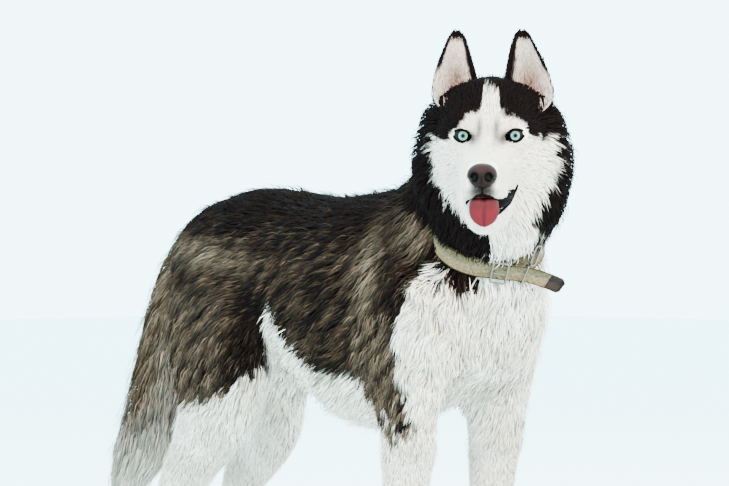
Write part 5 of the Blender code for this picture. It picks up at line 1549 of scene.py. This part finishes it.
# %% Fur of the ears
EAR_TUFTS = 3500
ear_coat = []
for side, word in SIDES:
    obj = EARS[word]
    places, faces = points_of(obj), triangles_of(obj)
    tones = np.zeros(len(places) * 4, np.float32)
    obj.data.color_attributes["coat"].data.foreach_get("color", tones)
    tones = tones.reshape(-1, 4)[:, :3]
    ear_roots, chosen = scatter(draw, places, faces, np.ones(len(faces)), EAR_TUFTS)
    corner = places[faces[chosen]]
    ear_normals = unit(np.cross(corner[:, 1] - corner[:, 0], corner[:, 2] - corner[:, 0]))
    inner_side = ear_normals @ FORWARD > 0.1
    _, left, up = head_place(ear_roots)
    height = np.clip((up - 0.026) / 0.098, 0, 1)
    inward = np.where(inner_side, 0.5, 0.0) * side * (0.045 - np.abs(left)) * 18
    way = UPWARD + inward[:, None] * LEFT + draw.normal(0, 0.14, (EAR_TUFTS, 3))
    way = laid_flat(way, ear_normals)
    size = np.where(inner_side, 0.017 - 0.0140 * height, 0.0085 - 0.0050 * height)
    size = size * draw.uniform(0.7, 1.2, EAR_TUFTS)
    rise = ear_normals * (size * np.where(inner_side, 0.10, 0.14))[:, None]
    knees = ear_roots + way * size[:, None] * 0.5 + rise
    tips = ear_roots + way * size[:, None] + rise * 1.1
    bases = ear_roots - ear_normals * 0.0006
    wide = np.where(inner_side, 0.0011, 0.0016) * draw.uniform(0.8, 1.2, EAR_TUFTS) * QUICK_WIDTH
    base = tones[faces[chosen]].mean(1)
    pale = inner_side & (base.mean(1) > 0.08) & (draw.random(EAR_TUFTS) < 0.35)
    base = mixed(base, CREAM, pale * 0.3)
    colours = tuft_colours(ear_roots, np.zeros(EAR_TUFTS), base)
    across, above = 0.52 + 0.2 * height + 0.24 * (side > 0), 0.76 + 0.1 * inner_side + 1.0 * np.abs(left)
    blade_points = blades(bases, knees, tips, ear_normals, wide)
    ear_coat += coat_pieces(f"coat_ear_{word}", blade_points, colours, np.column_stack([across, above]))
print(len(ear_coat), "pieces of ear fur")

# %% Skin colours
skin_tones = markings(skin_points, skin_normals, kind_of(skin_points))[0]
# The skin under the coat is painted darker as shade among the tufts, most under dark fur
skin_tones = skin_tones * np.where(skin_tones.mean(1) > 0.3, 0.93, 0.72)[:, None]
# Painted shade inside the open mouth: the skin between the lips is painted near black
skin_tones = mixed(skin_tones, BLACK * 0.5, in_mouth(skin_points, 0.0015, 0.003, 0.013) * 1.0)
paint(skin, skin_tones)
shade_smooth(skin.data)
piece(skin, "skin", "fur", *FLESH)
print("skin painted")

# %% [markdown]
# ## Stage, light and camera
# A plain pale floor and backdrop in the light of an overcast winter day.

# %% Stage
pale = look("studio_pale", 0.9, 0.5, "e4f2f7")
bpy.ops.mesh.primitive_plane_add(size=24.0, location=(0, 0, 0))
floor = bpy.context.object
floor.name = "floor"
floor.data.materials.append(pale)

world = bpy.data.worlds.new("overcast")
bpy.context.scene.world = world
world.use_nodes = True
sky = world.node_tree.nodes["Background"]
sky.inputs["Color"].default_value = (0.54, 0.90, 1.0, 1.0)
sky.inputs["Strength"].default_value = 9.5


def area_light(name, place, target, size, power, tint):
    data = bpy.data.lights.new(name, "AREA")
    data.shape = "DISK"
    data.size = size
    data.energy = power
    data.color = hex_colour(tint)
    obj = linked(name, data)
    obj.location = place
    obj.rotation_euler = (Vector(target) - Vector(place)).to_track_quat("-Z", "Y").to_euler()


area_light("key", (-2.6, -1.6, 3.0), (0, 0, 0.4), 2.0, 380.0, "ffc090")
area_light("fill", (0.6, -3.4, 1.8), (0, -0.1, 0.5), 2.6, 380.0, "ffc090")
area_light("rim", (2.2, 1.6, 2.6), (0, 0, 0.5), 1.8, 80.0, "ffe4cc")
print("stage and lights ready")

# %% Camera
camera_data = bpy.data.cameras.new("camera")
camera_data.lens = 135.0
camera_data.sensor_width = 36.0
camera = linked("camera", camera_data)
camera.location = np.array((-2.552, -2.543, 0.511)) + SHIFT
camera.rotation_euler = (math.radians(90.0), 0.0, math.radians(-45.0))
bpy.context.scene.camera = camera
print("camera at", [round(v, 3) for v in camera.location])
